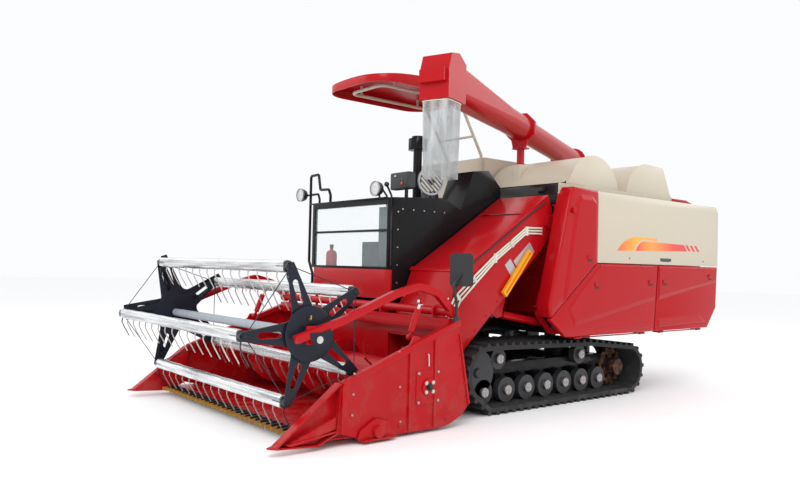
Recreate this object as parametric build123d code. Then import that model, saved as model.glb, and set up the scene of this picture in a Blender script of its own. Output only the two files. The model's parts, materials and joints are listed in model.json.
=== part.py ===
"""Tracked rice combine harvester with a spring-tine reel, a left-hand feeder and a swinging unloader.

Frame: millimetres, +Z up, the front faces -Y and the machine's left side faces +X. The origin is on
the ground under the middle of the whole machine. Every function below makes one named sub-part,
with y counted from a point MIDDLE_Y in front of that origin; the last lines move all of them there.
"""
import os
from math import atan2, cos, degrees, hypot, pi, radians, sin, sqrt, tan

from build123d import *

MIDDLE_Y = 84.0            # every part is drawn about the feeder's datum, then moved this far back

# ---------------------------------------------------------------- tracks
TRACK_MID_X = 207.0        # middle between the two tracks
TRACK_GAUGE = 1274.0       # between the tracks' centre planes
TRACK_WIDTH = 500.0
BELT_THICK = 35.0          # rubber belt under the lugs
LUG_HEIGHT = 25.0
LUG_COUNT = 56
RUN_GAP = 0.4              # between the belt and what it runs on
TRACK_SKIN = BELT_THICK + LUG_HEIGHT
SPROCKET_Y, SPROCKET_Z, SPROCKET_R = 1255.0, 245.0, 245.0   # the radius reaches the lug tips
IDLER_Y, IDLER_Z, IDLER_R = -705.0, 330.0, 250.0
ROLLER_R = 165.0           # to the lug tips, so the rollers' axles lie this high
ROLLER_YS = (-629.0, -350.0, -95.0, 160.0, 415.0, 670.0, 925.0)
CARRIERS = ((-455.0, 430.0), (640.0, 405.0))                # (y, z) of the upper rollers
CARRIER_R = 148.0
BEAM_BOTTOM, BEAM_TOP, BEAM_HALF = 290.0, 380.0, 50.0
WHEEL_IN, WHEEL_OUT, AXLE_END = 60.0, 120.0, 140.0          # from the track's middle plane
AXLE_R, HANGER_HALF = 30.0, 46.0
SPROCKET_TEETH = 12
TRACK_CROSS_YS = (-150.0, 800.0)

# ---------------------------------------------------------------- chassis and thresher
RAIL_BOTTOM, DECK_Z = 600.0, 700.0
RAIL_WIDTH = 80.0
RAIL_INSET = 237.0         # rail's inner face from the tracks' middle plane
RIGHT_RAIL_FRONT, LEFT_RAIL_FRONT, CHASSIS_REAR = -1040.0, -600.0, 2560.0
DRIVE_BRACKET = 36.0
EYE_Z, EYE_R, EYE_OUT, EYE_PLATE = 655.0, 16.0, 42.0, 14.0
CLEVIS_Y, CLEVIS_R = 2630.0, 14.0
LEFT_WALL_X, INNER_WALL_X, RIGHT_WALL_X = 1010.0, 20.0, -1000.0
THRESHER_FRONT, THRESHER_REAR, HOOD_REAR = 240.0, 2105.0, 2725.0
THRESHER_TOP = 1960.0
HUMP, HUMP_R = (760.0, 1866.0), 384.0  # (y, z) and radius of the front drum cover
SHEET = 6.0

# ---------------------------------------------------------------- side covers
COVER_X = 1200.0           # outer plane of the left-hand covers
COVER_SHEET = 8.0
COVER_GAP = 8.0
COVER_FRONT_Y, COVER_SPLIT_Y, COVER_MID_Y, COVER_REAR_Y = -95.0, 560.0, 1530.0, 2725.0
COVER_BOTTOM, COVER_WAIST, COVER_TOP = 602.0, 1250.0, 1900.0
FRONT_HINGE_X = 1046.0
HINGE_BACK = 26.0          # the front cover's hinge behind its front edge
FRONT_EDGE = ((-95.0, 880.0), (150.0, 1822.0))                # (y, z) ends of the front cover's front edge
SPLIT = ((-75.0, 776.0), (557.0, 1253.0))                     # (y, z) ends of the inclined split
TOP_HINGE, LOW_HINGE = (1052.0, 1888.0), (1160.0, 588.0)      # (x, z) of the hinge rods along Y
TOP_KNUCKLES, LOW_KNUCKLES_A, LOW_KNUCKLES_B = (650.0, 1600.0, 2560.0), (300.0, 1300.0), (1640.0, 2360.0)
KNUCKLE, KNUCKLE_R, HINGE_R = 80.0, 12.0, 6.0

# ---------------------------------------------------------------- header, feeder and reel
CUT_HALF = 1250.0          # half the header's width
WALL = 8.0
PIVOT_Y, PIVOT_Z = 110.0, 1600.0      # the header lifts about this cross axis
PIVOT_R = 25.0
FEEDER_LEFT, FEEDER_RIGHT = 990.0, 400.0
LIFT_X, LIFT_PIN_R, LIFT_BARREL_R = 900.0, 16.0, 34.0
STOP_DOWN = (-24.0, -27.0)            # keeps the lift lock clear of the front cover when that is open
LIFT_BARREL, LIFT_EYE = (240.0, 690.0), (-425.0, 800.0)      # (y, z) of the lift cylinder's two pins
AUGER_Y, AUGER_Z = -1493.0, 328.0
DRUM_R, FLIGHT_R, FLIGHT_PITCH = 150.0, 250.0, 420.0
TROUGH_R = 290.0
RAIL_FRONT, RAIL_REAR = (-2225.0, 420.0), (-1185.0, 800.0)   # (y, z) of the header's top rails
REEL_Y, REEL_Z, REEL_R = -2405.0, 730.0, 458.0
REEL_ARMS = 5
REEL_PHASE = 180.0         # one spider arm points straight ahead
STAR_X = 1100.0            # outer faces of the spiders
STAR_PLATE = 6.0
ECC_Y, ECC_Z = 45.0, 40.0  # how far the eccentric spider's centre lies off the shaft
BAT_R = 30.0
TINE_COUNT, TINE_DROP = 17, 190.0
ARM_PIVOT_Y, ARM_PIVOT_Z = -1225.0, 850.0
ARM_X, ARM_SIZE = 1205.0, 50.0
KNIFE_PITCH = 76.2
MOUTH_LOW, MOUTH_HIGH = 120.0, 640.0  # the feeder's mouth in the back wall
REEL_TUBE_R = 33.0         # cross tube of the reel arms
SHAFT_R, PIN_R = 20.0, 10.0           # the reel's shaft ends and the tine bars' pins
CRANK_X, ECC_X, ECC_HUB_R = 1108.0, 1126.0, 95.0    # inner faces of the cranks and of the eccentric spider
AUGER_SHAFT_R = 28.0
REEL_LIFT_FOOT, REEL_LIFT_EYE, REEL_LIFT_X = (-1590.0, 674.0), (-1490.0, 925.0), 1150.0
PIN_FIT = 0.3              # radial clearance round a pin
LIFT_PLAY, REEL_PLAY, UNLOAD_PLAY = 1.9, 4.2, 2.6           # the same in the three kinds of rod eye

# ---------------------------------------------------------------- unloading auger
TURRET_X, TURRET_Y, TURRET_Z = -250.0, 2160.0, 2452.0
UNLOAD_REST = (340.0, 475.0)          # (x, y) of the post that it rests on
OUTLET = 3290.0            # level distance from the lift pivot to the outlet box
UNLOAD_TILT = 3.5
TUBE_R = 115.0
SADDLE_Z = -190.0          # flat foot of the saddle plate, from the tube's centre line
TURRET_BASE, TURN_GAP = 2200.0, 0.4
UNLOAD_FOOT, UNLOAD_EYE, UNLOAD_CYL_Y = (-50.0, -100.0), (550.0, -60.0), -172.0   # from the lift pivot

# ---------------------------------------------------------------- grain tank
TANK_FRONT, TANK_REAR, TANK_TOP = 345.0, 2010.0, 2300.0
LID, LID_HINGE_Z = (-850.0, -350.0, 600.0, 1100.0), 2326.0    # x0, x1, y0, y1

# ---------------------------------------------------------------- operator's place
FLOOR_Z, FLOOR_THICK = 990.0, 60.0
CAB_FRONT, CAB_REAR = -1125.0, -480.0
CAB_LEFT, CAB_RIGHT = 375.0, -950.0
PANEL = 18.0
HOOD_TOP, HOOD_LEFT = 1420.0, 12.0
SCREEN, SCREEN_HINGE = (-380.0, 240.0, 800.0, 1330.0), (-969.0, -430.0)   # y0, y1, z0, z1; (x, y)
CANOPY = (-300.0, -537.0, 900.0, 1225.0)                     # middle x and y, width, length
CANOPY_Z, CANOPY_CROWN, CANOPY_SHEET = 2850.0, 95.0, 9.0


# ================================================================ helpers
def block(x0, x1, y0, y1, z0, z1):
    """A box given by its limits."""
    return Pos((x0 + x1) / 2, (y0 + y1) / 2, (z0 + z1) / 2) * Box(x1 - x0, y1 - y0, z1 - z0)


def side_face(points):
    """A face in the Y-Z plane from (y, z) points."""
    return make_face(Polyline(*[(0, y, z) for y, z in points], close=True))


def slab(face, x0, x1):
    """A face of the Y-Z plane carried from x0 to x1."""
    return Pos(x0, 0, 0) * extrude(face, amount=x1 - x0, dir=(1, 0, 0))


def prism_x(points, x0, x1):
    """A (y, z) outline carried across the machine from x0 to x1."""
    return slab(side_face(points), x0, x1)


def prism_z(points, z0, z1):
    """An (x, y) outline carried up from z0 to z1."""
    face = make_face(Polyline(*[(x, y, z0) for x, y in points], close=True))
    return extrude(face, amount=z1 - z0, dir=(0, 0, 1))


def prism_y(points, y0, y1):
    """An (x, z) outline carried back from y0 to y1."""
    face = make_face(Polyline(*[(x, y0, z) for x, z in points], close=True))
    return extrude(face, amount=y1 - y0, dir=(0, 1, 0))


def rod(start, end, radius):
    """A round bar between two points."""
    path = Edge.make_line(start, end)
    return extrude(Plane(path @ 0, z_dir=path % 0) * Circle(radius), amount=path.length)


def disc_x(y, z, radius, x0, x1):
    """A round bar along X."""
    return rod((x0, y, z), (x1, y, z), radius)


def ring_x(y, z, outer, inner, x0, x1):
    """A round tube along X."""
    return disc_x(y, z, outer, x0, x1) - disc_x(y, z, inner, x0 - 1, x1 + 1)


def bent_tube(points, radius, bend):
    """A round tube, solid inside, that follows points with rounded bends."""
    path = FilletPolyline(*points, radius=bend)
    return sweep(Plane(path @ 0, z_dir=path % 0) * Circle(radius), path=path)


def mirrored(shape, x=0.0):
    """The shape and its twin on the other side of the plane at x."""
    return [shape, mirror(shape, about=Plane(origin=(x, 0, 0), z_dir=(1, 0, 0)))]


def fused(parts):
    """One shape from a list of parts."""
    shape = parts[0]
    for part in parts[1:]:
        shape = shape + part
    return shape


def track_sides():
    """The two tracks' centre planes: (x, the sign that points outwards)."""
    return ((TRACK_MID_X + TRACK_GAUGE / 2, 1), (TRACK_MID_X - TRACK_GAUGE / 2, -1))


# ================================================================ tracks
def track_outline(shrink):
    """The loop's convex outline, pulled in by shrink from the lug tips, in an X-Y sketch of (y, z)."""
    wheels = [(SPROCKET_Y, SPROCKET_Z, SPROCKET_R), (IDLER_Y, IDLER_Z, IDLER_R)]
    wheels += [(ROLLER_YS[0], ROLLER_R, ROLLER_R), (ROLLER_YS[-1], ROLLER_R, ROLLER_R)]
    wheels += [(y, z, CARRIER_R) for y, z in CARRIERS]
    circles = [Edge.make_circle(r - shrink, Plane((y, z, 0))) for y, z, r in wheels]
    return make_hull(circles)


def track_loop(x_mid):
    """One rubber track: a belt with a lug at every pitch of its outline."""
    belt_path = track_outline(LUG_HEIGHT).wires()[0]
    lug = make_face(Polyline((-22, -4), (22, -4), (13, LUG_HEIGHT), (-13, LUG_HEIGHT), close=True))
    profile = track_outline(LUG_HEIGHT)
    outward = 180 if belt_winding(belt_path) > 0 else 0
    for i in range(LUG_COUNT):
        distance = belt_path.length * (i + 0.5) / LUG_COUNT
        spot = belt_path.position_at(distance, position_mode=PositionMode.LENGTH)
        along = belt_path.tangent_at(distance, position_mode=PositionMode.LENGTH)
        turn = degrees(atan2(along.Y, along.X))
        profile += Pos(spot.X, spot.Y) * Rot(0, 0, turn + outward) * lug
    profile -= track_outline(TRACK_SKIN)
    return Plane.YZ.offset(x_mid - TRACK_WIDTH / 2) * extrude(profile, amount=TRACK_WIDTH)


def belt_winding(wire):
    """Positive when the wire runs anticlockwise."""
    pts = [wire.position_at(i / 24) for i in range(24)]
    return sum(a.X * b.Y - b.X * a.Y for a, b in zip(pts, pts[1:] + pts[:1]))


def roller(x_mid, y, z, radius):
    """Two wheels on one axle, turned about X, with capped ends."""
    profile = Polyline(
        (0, 0), (AXLE_END, 0), (AXLE_END, 30), (WHEEL_OUT, 42), (WHEEL_OUT, radius),
        (WHEEL_IN, radius), (WHEEL_IN, AXLE_R), (0, AXLE_R), close=True)
    half = revolve(make_face(profile), axis=Axis.X)
    return Pos(x_mid, y, z) * (half + mirror(half, about=Plane.YZ))


def track_wheels():
    """(y, z, radius) of all that turns on one track beam: rollers, carriers and the front idler."""
    shrink = TRACK_SKIN + RUN_GAP
    wheels = [(y, ROLLER_R, ROLLER_R - shrink) for y in ROLLER_YS]
    wheels += [(y, z, CARRIER_R - shrink) for y, z in CARRIERS]
    return wheels + [(IDLER_Y, IDLER_Z, IDLER_R - shrink)]


def track_rollers():
    """All the track rollers, the upper ones and the front idlers: three sizes of the same turned shape."""
    return [roller(x, *wheel) for x, _ in track_sides() for wheel in track_wheels()]


def track_beam(x_mid):
    """The beam along the middle of a track, with a bored hanger at each axle."""
    front, rear = IDLER_Y + IDLER_R - TRACK_SKIN + 12, SPROCKET_Y - SPROCKET_R + TRACK_SKIN - 15
    beam = block(x_mid - BEAM_HALF, x_mid + BEAM_HALF, front, rear, BEAM_BOTTOM, BEAM_TOP)
    for y, z, _ in track_wheels():
        reach = 48
        if z < BEAM_BOTTOM:
            outline = [(y - 60, BEAM_BOTTOM), (y - reach, z - 20), (y - 20, z - reach),
                       (y + 20, z - reach), (y + reach, z - 20), (y + 60, BEAM_BOTTOM)]
        elif y < front:
            outline = [(front, BEAM_BOTTOM), (y - reach, z - reach), (y - reach, z + reach),
                       (front, BEAM_TOP)]
        else:
            outline = [(y - 60, BEAM_TOP), (y - reach, z + 20), (y - 20, z + reach),
                       (y + 20, z + reach), (y + reach, z + 20), (y + 60, BEAM_TOP)]
        beam += prism_x(outline, x_mid - HANGER_HALF, x_mid + HANGER_HALF)
    for y, z, _ in track_wheels():
        beam -= disc_x(y, z, AXLE_R + PIN_FIT, x_mid - 60, x_mid + 60)
    return beam


def drive_sprocket(x_mid, outward):
    """The toothed rear wheel with its hub cap and the final drive that carries it."""
    tip = SPROCKET_R - TRACK_SKIN - RUN_GAP
    wheel = Circle(tip)
    wheel -= PolarLocations(tip + 6, SPROCKET_TEETH) * Circle(30)
    wheel -= PolarLocations(112, 6) * Circle(24)
    face = Plane(origin=(0, 0, 0), x_dir=(0, 1, 0), z_dir=(1, 0, 0)) * wheel
    shape = Pos(x_mid - 22, SPROCKET_Y, SPROCKET_Z) * extrude(face, amount=44, dir=(1, 0, 0))
    cap_end = x_mid + outward * 120
    shape += disc_x(SPROCKET_Y, SPROCKET_Z, 78, min(x_mid, cap_end), max(x_mid, cap_end))
    inner = final_drive_plane(outward)
    shape += disc_x(SPROCKET_Y, SPROCKET_Z, 105, min(inner, x_mid), max(inner, x_mid))
    return shape


def final_drive_plane(outward):
    """Where the final drive bolts to its bracket."""
    return TRACK_MID_X + outward * (RAIL_INSET + RAIL_WIDTH + DRIVE_BRACKET)


# ================================================================ chassis
def rail_sides():
    """Each rail: (its sign, left and right faces in rising x, its outer face, its front end)."""
    rails = []
    for sign, front in ((-1, RIGHT_RAIL_FRONT), (1, LEFT_RAIL_FRONT)):
        inner, outer = TRACK_MID_X + sign * RAIL_INSET, TRACK_MID_X + sign * (RAIL_INSET + RAIL_WIDTH)
        rails.append((sign, min(inner, outer), max(inner, outer), outer, front))
    return rails


def chassis_frame():
    """Two rails, their cross members and outriggers, the track cross beams and posts, and the brackets."""
    # cross members: (y, right end, left end, height)
    members = ((-990, -930, -30, 80), (-540, -930, 524, 80), (40, -930, 524, 80), (500, -930, 1000, 80),
               (1250, -930, 1000, 80), (2060, -930, 1000, 80), (2500, -300, 800, 100))
    parts = [block(x0, x1, y - 40, y + 40, DECK_Z - tall, DECK_Z) for y, x0, x1, tall in members]
    track_inner = sorted(x - sign * BEAM_HALF for x, sign in track_sides())
    for y in TRACK_CROSS_YS:
        parts.append(block(*track_inner, y - 40, y + 40, BEAM_TOP - 80, BEAM_TOP))
    for sign, x0, x1, outer, front in rail_sides():
        parts.append(block(x0, x1, front, CHASSIS_REAR, RAIL_BOTTOM, DECK_Z))
        parts += [block(x0, x1, y - 40, y + 40, BEAM_TOP, RAIL_BOTTOM) for y in TRACK_CROSS_YS]
        plane = final_drive_plane(sign)
        parts.append(block(min(outer, plane), max(outer, plane), SPROCKET_Y - 95, SPROCKET_Y + 95,
                           SPROCKET_Z - 110, DECK_Z - 10))
        inward = outer - sign * EYE_PLATE
        for y, reach in ((front, -75), (CHASSIS_REAR, 75)):
            parts.append(block(min(inward, outer), max(inward, outer), min(y, y + reach), max(y, y + reach),
                               RAIL_BOTTOM + 10, DECK_Z - 10))
    parts.append(block(TRACK_MID_X + RAIL_INSET + RAIL_WIDTH, LEFT_WALL_X, 110, 150, 622, 664))
    for z in (RAIL_BOTTOM + 5, DECK_Z - 25):
        parts.append(block(TRACK_MID_X - 55, TRACK_MID_X + 55, 2540, CLEVIS_Y + 40, z, z + 20))
    frame = fused(parts)
    for sign, _, _, outer, front in rail_sides():
        for y in (front - EYE_OUT, CHASSIS_REAR + EYE_OUT):
            frame -= disc_x(y, EYE_Z, EYE_R, outer - 30, outer + 30)
    frame -= rod((TRACK_MID_X, CLEVIS_Y, RAIL_BOTTOM - 20), (TRACK_MID_X, CLEVIS_Y, DECK_Z + 20), CLEVIS_R)
    return frame + lift_clevis()


def lift_clevis():
    """Two plates and a pin in front of a cross member, for the header's lift cylinder."""
    y, z = LIFT_BARREL
    shape = disc_x(y, z, LIFT_PIN_R, LIFT_X - 36, LIFT_X + 36)
    for x in (LIFT_X - 36, LIFT_X + 22):
        shape += prism_x([(y - 34, z - 20), (y - 24, z + 28), (y + 30, z + 28), (y + 110, DECK_Z),
                          (461, DECK_Z), (461, DECK_Z - 80), (y + 60, DECK_Z - 80)], x, x + 14)
    return shape


# ================================================================ threshing part
def thresher_body():
    """The closed threshing and cleaning housing, with pressed ribs and the feeder's bearing plates."""
    f, r = THRESHER_FRONT, THRESHER_REAR
    outline = [(f + 90, THRESHER_TOP), (f, 1850), (f, 1250), (f + 110, 1120), (f + 110, 780),
               (f + 190, DECK_Z),
               (r - 110, DECK_Z), (r, 780), (r, THRESHER_TOP)]
    body = prism_x(outline, INNER_WALL_X, LEFT_WALL_X - 12)
    for y0, y1, z0, z1 in ((480, 900, 1240, 1820), (960, 1480, 1240, 1820), (1540, 2020, 1240, 1820),
                           (560, 1180, 800, 1170), (1240, 1960, 800, 1170)):
        body += block(LEFT_WALL_X - 12, LEFT_WALL_X, y0, y1, z0, z1)
    body += block(LEFT_WALL_X - 12, LEFT_WALL_X, f, r, 1830, THRESHER_TOP)
    body += block(LEFT_WALL_X - 12, LEFT_WALL_X, f + 110, r, 1180, 1230)
    plate = [(PIVOT_Y - 50, PIVOT_Z - 30), (PIVOT_Y - 50, PIVOT_Z + 30), (PIVOT_Y - 20, PIVOT_Z + 50),
             (f, PIVOT_Z + 90), (f, PIVOT_Z - 90), (PIVOT_Y - 20, PIVOT_Z - 50)]
    for x in (FEEDER_RIGHT - 17, FEEDER_LEFT + 3):
        body += prism_x(plate, x, x + 14) - disc_x(PIVOT_Y, PIVOT_Z, PIVOT_R + PIN_FIT, x - 1, x + 15)
    return body


def front_hump():
    """Side outline of the front drum cover: an arc with a flat foot in front of it."""
    dome = Pos(*HUMP) * Circle(HUMP_R) + Pos(362, THRESHER_TOP + 7) * Rectangle(64, 14)
    return dome & Pos(760, THRESHER_TOP + 300) * Rectangle(1400, 600)


def thresher_covers():
    """The two domed covers over the threshing drums, each with its end plates standing proud."""
    rear = make_face([
        ThreePointArc((1285, 1960), (1400, 2170), (1622, 2262)), Line((1622, 2262), (1925, 2248)),
        Line((1925, 2248), (2060, 1990)), Line((2060, 1990), (2100, 1960)),
                      Line((2100, 1960), (1285, 1960))])
    plane = Plane(origin=(0, 0, 0), x_dir=(0, 1, 0), z_dir=(1, 0, 0))
    shapes = []
    for outline in (front_hump(), rear):
        dome = Pos(INNER_WALL_X + 6, 0, 0) * extrude(plane * outline, amount=984, dir=(1, 0, 0))
        skin = offset(outline, 9, kind=Kind.INTERSECTION)
        skin = skin & Pos(1200, THRESHER_TOP + 300) * Rectangle(2400, 600)
        for x in (INNER_WALL_X, LEFT_WALL_X - 6):
            dome += Pos(x, 0, 0) * extrude(plane * skin, amount=6, dir=(1, 0, 0))
        shapes.append(dome)
    return shapes


def inlet_panel():
    """The dark sloping panel over the feeder's mouth, with its two latches."""
    f = THRESHER_FRONT
    sheet = [(f, 1850), (f + 90, THRESHER_TOP), (f + 84, THRESHER_TOP + 5), (f - 8, 1853), (f - 8, 1700),
             (f, 1700)]
    panel = prism_x(sheet, INNER_WALL_X + 10, LEFT_WALL_X - 20)
    for x in (180, 760):
        panel += prism_x([(f + 18, 1878), (f + 58, 1927), (f + 42, 1942), (f + 4, 1896)], x, x + 70)
    return panel


def straw_hood():
    """The hood behind the housing, open below, that turns the straw down."""
    outer = [(THRESHER_REAR, THRESHER_TOP), (2400, THRESHER_TOP), (HOOD_REAR - 25, 1885), (HOOD_REAR, 1300),
             (HOOD_REAR - 90, 980), (THRESHER_REAR, 980)]
    inner = [(THRESHER_REAR - 1, THRESHER_TOP - SHEET), (2398, THRESHER_TOP - SHEET),
             (HOOD_REAR - 31, 1880),
             (HOOD_REAR - 6, 1300), (HOOD_REAR - 97, 979), (THRESHER_REAR - 1, 979)]
    hollow = prism_x(inner, INNER_WALL_X + SHEET, LEFT_WALL_X - SHEET)
    return prism_x(outer, INNER_WALL_X, LEFT_WALL_X) - hollow


# ================================================================ side covers
def band_y(z):
    """y of the front cover's front edge at a height."""
    (y0, z0), (y1, z1) = FRONT_EDGE
    return y0 + (y1 - y0) * (z - z0) / (z1 - z0)


def hinge_frame():
    """Lower end and direction of the front cover's hinge, which lies along the inside of its front edge."""
    low = Vector(FRONT_HINGE_X, band_y(870) + HINGE_BACK, 870)
    high = Vector(FRONT_HINGE_X, band_y(1740) + HINGE_BACK, 1740)
    return low, (high - low).normalized(), (high - low).length


def hinge_rod_y(x, z, places):
    """A rod along Y through all the knuckles' places."""
    first, last = places[0] - 14, places[-1] + KNUCKLE + 14
    return rod((x, first, z), (x, last, z), HINGE_R)


def ear_places(places):
    """y of the near face of every ear round the knuckles."""
    return [y for start in places for y in (start - 14, start + KNUCKLE + 4)]


def cover_frame():
    """The rails, arms and hinge rods that carry the left-hand covers."""
    x0, (top_x, top_z), (low_x, low_z) = LEFT_WALL_X, TOP_HINGE, LOW_HINGE
    rail_end = COVER_REAR_Y - 150
    parts = [block(x0, x0 + 26, 220, COVER_REAR_Y - 15, 1838, 1874),
             block(x0 + 70, x0 + 105, 110, rail_end, 622, 664)]
    parts += [block(x0 - 10, x0 + 105, y - 20, y + 20, 664, DECK_Z) for y in (500, 1250, 2060)]
    parts.append(block(x0, x0 + 105, 110, 150, 622, 664))
    post = [(band_y(z) + dy, z) for z, dy in ((790, 60), (1874, 60), (1874, 110), (790, 110))]
    parts.append(prism_x(post, x0, x0 + 26))
    parts.append(prism_x([(110, 622), (150, 640), post[3], post[0]], x0, x0 + 26))
    for y in ear_places(TOP_KNUCKLES):
        parts.append(block(x0 + 10, top_x + 7, y, y + 10, top_z - 20, top_z + 7))
    parts.append(hinge_rod_y(top_x, top_z, TOP_KNUCKLES))
    for knuckles in (LOW_KNUCKLES_A, LOW_KNUCKLES_B):
        for y in ear_places(knuckles):
            parts.append(block(x0 + 95, x0 + 105, y, y + 10, low_z - 7, 622))
            parts.append(block(x0 + 95, low_x + 7, y, y + 10, low_z - 7, low_z + 7))
        parts.append(hinge_rod_y(low_x, low_z, knuckles))
    low, along, length = hinge_frame()
    a, b = low - along * 14, low + along * (length + 14)
    parts.append(rod(tuple(a), tuple(b), HINGE_R))
    for end in (a, b - along * 10):
        parts.append(Plane(end, x_dir=(1, 0, 0), z_dir=tuple(along)) * Pos(-14, 22, 5) * Box(46, 58, 10))
    return fused(parts)


def knuckles_y(places, x, z, leaf):
    """Hinge tubes round a rod along Y, each with a leaf given by its limits (x0, x1, z0, z1)."""
    shapes = []
    for y in places:
        tube = rod((x, y, z), (x, y + KNUCKLE, z), KNUCKLE_R)
        tube += block(leaf[0], leaf[1], y, y + KNUCKLE, leaf[2], leaf[3])
        shapes.append(tube - rod((x, y - 1, z), (x, y + KNUCKLE + 1, z), HINGE_R + PIN_FIT))
    return fused(shapes)


def inset_outline(outline, shifts):
    """The outline with each edge moved inwards by its own shift; the points run anticlockwise."""
    count, lines, inner = len(outline), [], []
    for i, shift in enumerate(shifts):
        (y0, z0), (y1, z1) = outline[i], outline[(i + 1) % count]
        length = hypot(y1 - y0, z1 - z0)
        lines.append((y0 - (z1 - z0) / length * shift, z0 + (y1 - y0) / length * shift, y1 - y0, z1 - z0))
    for i in range(count):
        (py, pz, dy, dz), (qy, qz, ey, ez) = lines[i - 1], lines[i]
        step = ((qy - py) * ez - (qz - pz) * ey) / (dy * ez - dz * ey)
        inner.append((py + dy * step, pz + dz * step))
    return inner


def dish(outline, inner_x, open_edges, corner):
    """A pressed cover: its outer sheet, and a rim along every edge whose number isn't in open_edges.

    The rimmed edges of the outer sheet are rounded by corner, inside and outside.
    """
    count = len(outline)
    rims = [i for i in range(count) if i not in open_edges]
    middles = [((outline[i][0] + outline[(i + 1) % count][0]) / 2,
                (outline[i][1] + outline[(i + 1) % count][1]) / 2) for i in range(count)]

    def rounded(points, x0, x1, radius):
        shape = prism_x(points, x0, x1)
        edges = []
        for edge in shape.faces().sort_by(Axis.X)[-1].edges():
            c = edge.center()
            near = min(range(count), key=lambda i: hypot(c.Y - middles[i][0], c.Z - middles[i][1]))
            if near in rims:
                edges.append(edge)
        return fillet(edges, radius)

    shifts = [-30.0 if i in open_edges else COVER_SHEET for i in range(count)]
    hollow = rounded(inset_outline(outline, shifts), inner_x - 1, COVER_X - COVER_SHEET,
                     corner - COVER_SHEET / 2)
    return rounded(outline, inner_x, COVER_X, corner) - hollow


def split_y(z):
    """y of the inclined split between the front cover and the lower one, at a height."""
    (y0, z0), (y1, z1) = SPLIT
    return y0 + (y1 - y0) * (z - z0) / (z1 - z0)


def front_side_cover():
    """The tall convex cover that wraps round the front corner of the threshing part."""
    g = COVER_GAP / 2
    rear = COVER_SPLIT_Y - g
    outline = [SPLIT[0], (rear, COVER_WAIST + g), (rear, COVER_TOP + 2), (215, COVER_TOP + 12),
               FRONT_EDGE[1],
               FRONT_EDGE[0]]
    shape = dish(outline, FRONT_HINGE_X + 14, (0, 1), 24)
    low, along, length = hinge_frame()
    reach = HINGE_BACK - COVER_SHEET + 2
    for start in (0, length - 120):
        place = Plane(low + along * start, x_dir=(1, 0, 0), z_dir=tuple(along))
        tube = extrude(place * Circle(KNUCKLE_R), amount=120)
        tube += place * Pos(13, -reach / 2, 60) * Box(22, reach, 120)
        shape += tube - extrude(place * Circle(HINGE_R + PIN_FIT), amount=120)
    return shape


def lower_side_cover():
    """The lower cover between the inclined split and the middle split, folding down about its foot."""
    g, (x, z) = COVER_GAP / 2, LOW_HINGE
    top, low = COVER_WAIST - g, SPLIT[0][1] + 14
    outline = [(130, COVER_BOTTOM), (COVER_MID_Y - 30 - g, COVER_BOTTOM), (COVER_MID_Y + 30 - g, top),
               (split_y(top) + 11, top), (split_y(low) + 11, low), (COVER_FRONT_Y + 20, low - 35)]
    shape = dish(outline, COVER_X - 45, (2, 3), 12)
    return shape + knuckles_y(LOW_KNUCKLES_A, x, z, (x - 6, x + 6, z + 8, COVER_BOTTOM + 4))


def rear_side_cover():
    """The rear lower cover, folding down about its foot."""
    g, (x, z) = COVER_GAP / 2, LOW_HINGE
    outline = [(COVER_MID_Y - 30 + g, COVER_BOTTOM), (2525, COVER_BOTTOM), (2703, 810),
               (COVER_REAR_Y, COVER_WAIST - g), (COVER_MID_Y + 30 + g, COVER_WAIST - g)]
    shape = dish(outline, COVER_X - 45, (3, 4), 12)
    return shape + knuckles_y(LOW_KNUCKLES_B, x, z, (x - 6, x + 6, z + 8, COVER_BOTTOM + 4))


def upper_side_cover():
    """The large cream cover, hung from its top edge, with a handle slot."""
    y0, y1, (x, z) = COVER_SPLIT_Y + COVER_GAP / 2, COVER_REAR_Y, TOP_HINGE
    foot, t = COVER_WAIST + COVER_GAP / 2, COVER_SHEET
    section = [(COVER_X, foot), (COVER_X, 1832), (COVER_X - 28, COVER_TOP), (x + 14, COVER_TOP),
               (x + 14, COVER_TOP - t), (COVER_X - 33, COVER_TOP - t), (COVER_X - t, 1830),
               (COVER_X - t, foot + t), (COVER_X - 45, foot + t), (COVER_X - 45, foot)]
    shape = prism_y(section, y0, y1)
    end = [(COVER_X - 4, foot + 4), (COVER_X - 4, 1830), (COVER_X - 30, COVER_TOP - 4),
           (COVER_X - 80, COVER_TOP - 4), (COVER_X - 80, 1700), (COVER_X - 42, 1500),
           (COVER_X - 42, foot + 4)]
    for y in (y0, y1 - SHEET):
        shape += prism_y(end, y, y + SHEET)
    shape -= block(COVER_X - 60, COVER_X + 10, 1610, 1760, foot + 30, foot + 52)
    return shape + knuckles_y(TOP_KNUCKLES, x, z, (x + 2, x + 18, COVER_TOP - t, COVER_TOP))


# ================================================================ header
def rail_z(y):
    """Height of the header's top rail at y."""
    (y0, z0), (y1, z1) = RAIL_FRONT, RAIL_REAR
    return z0 + (z1 - z0) * (y - y0) / (y1 - y0)


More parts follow.
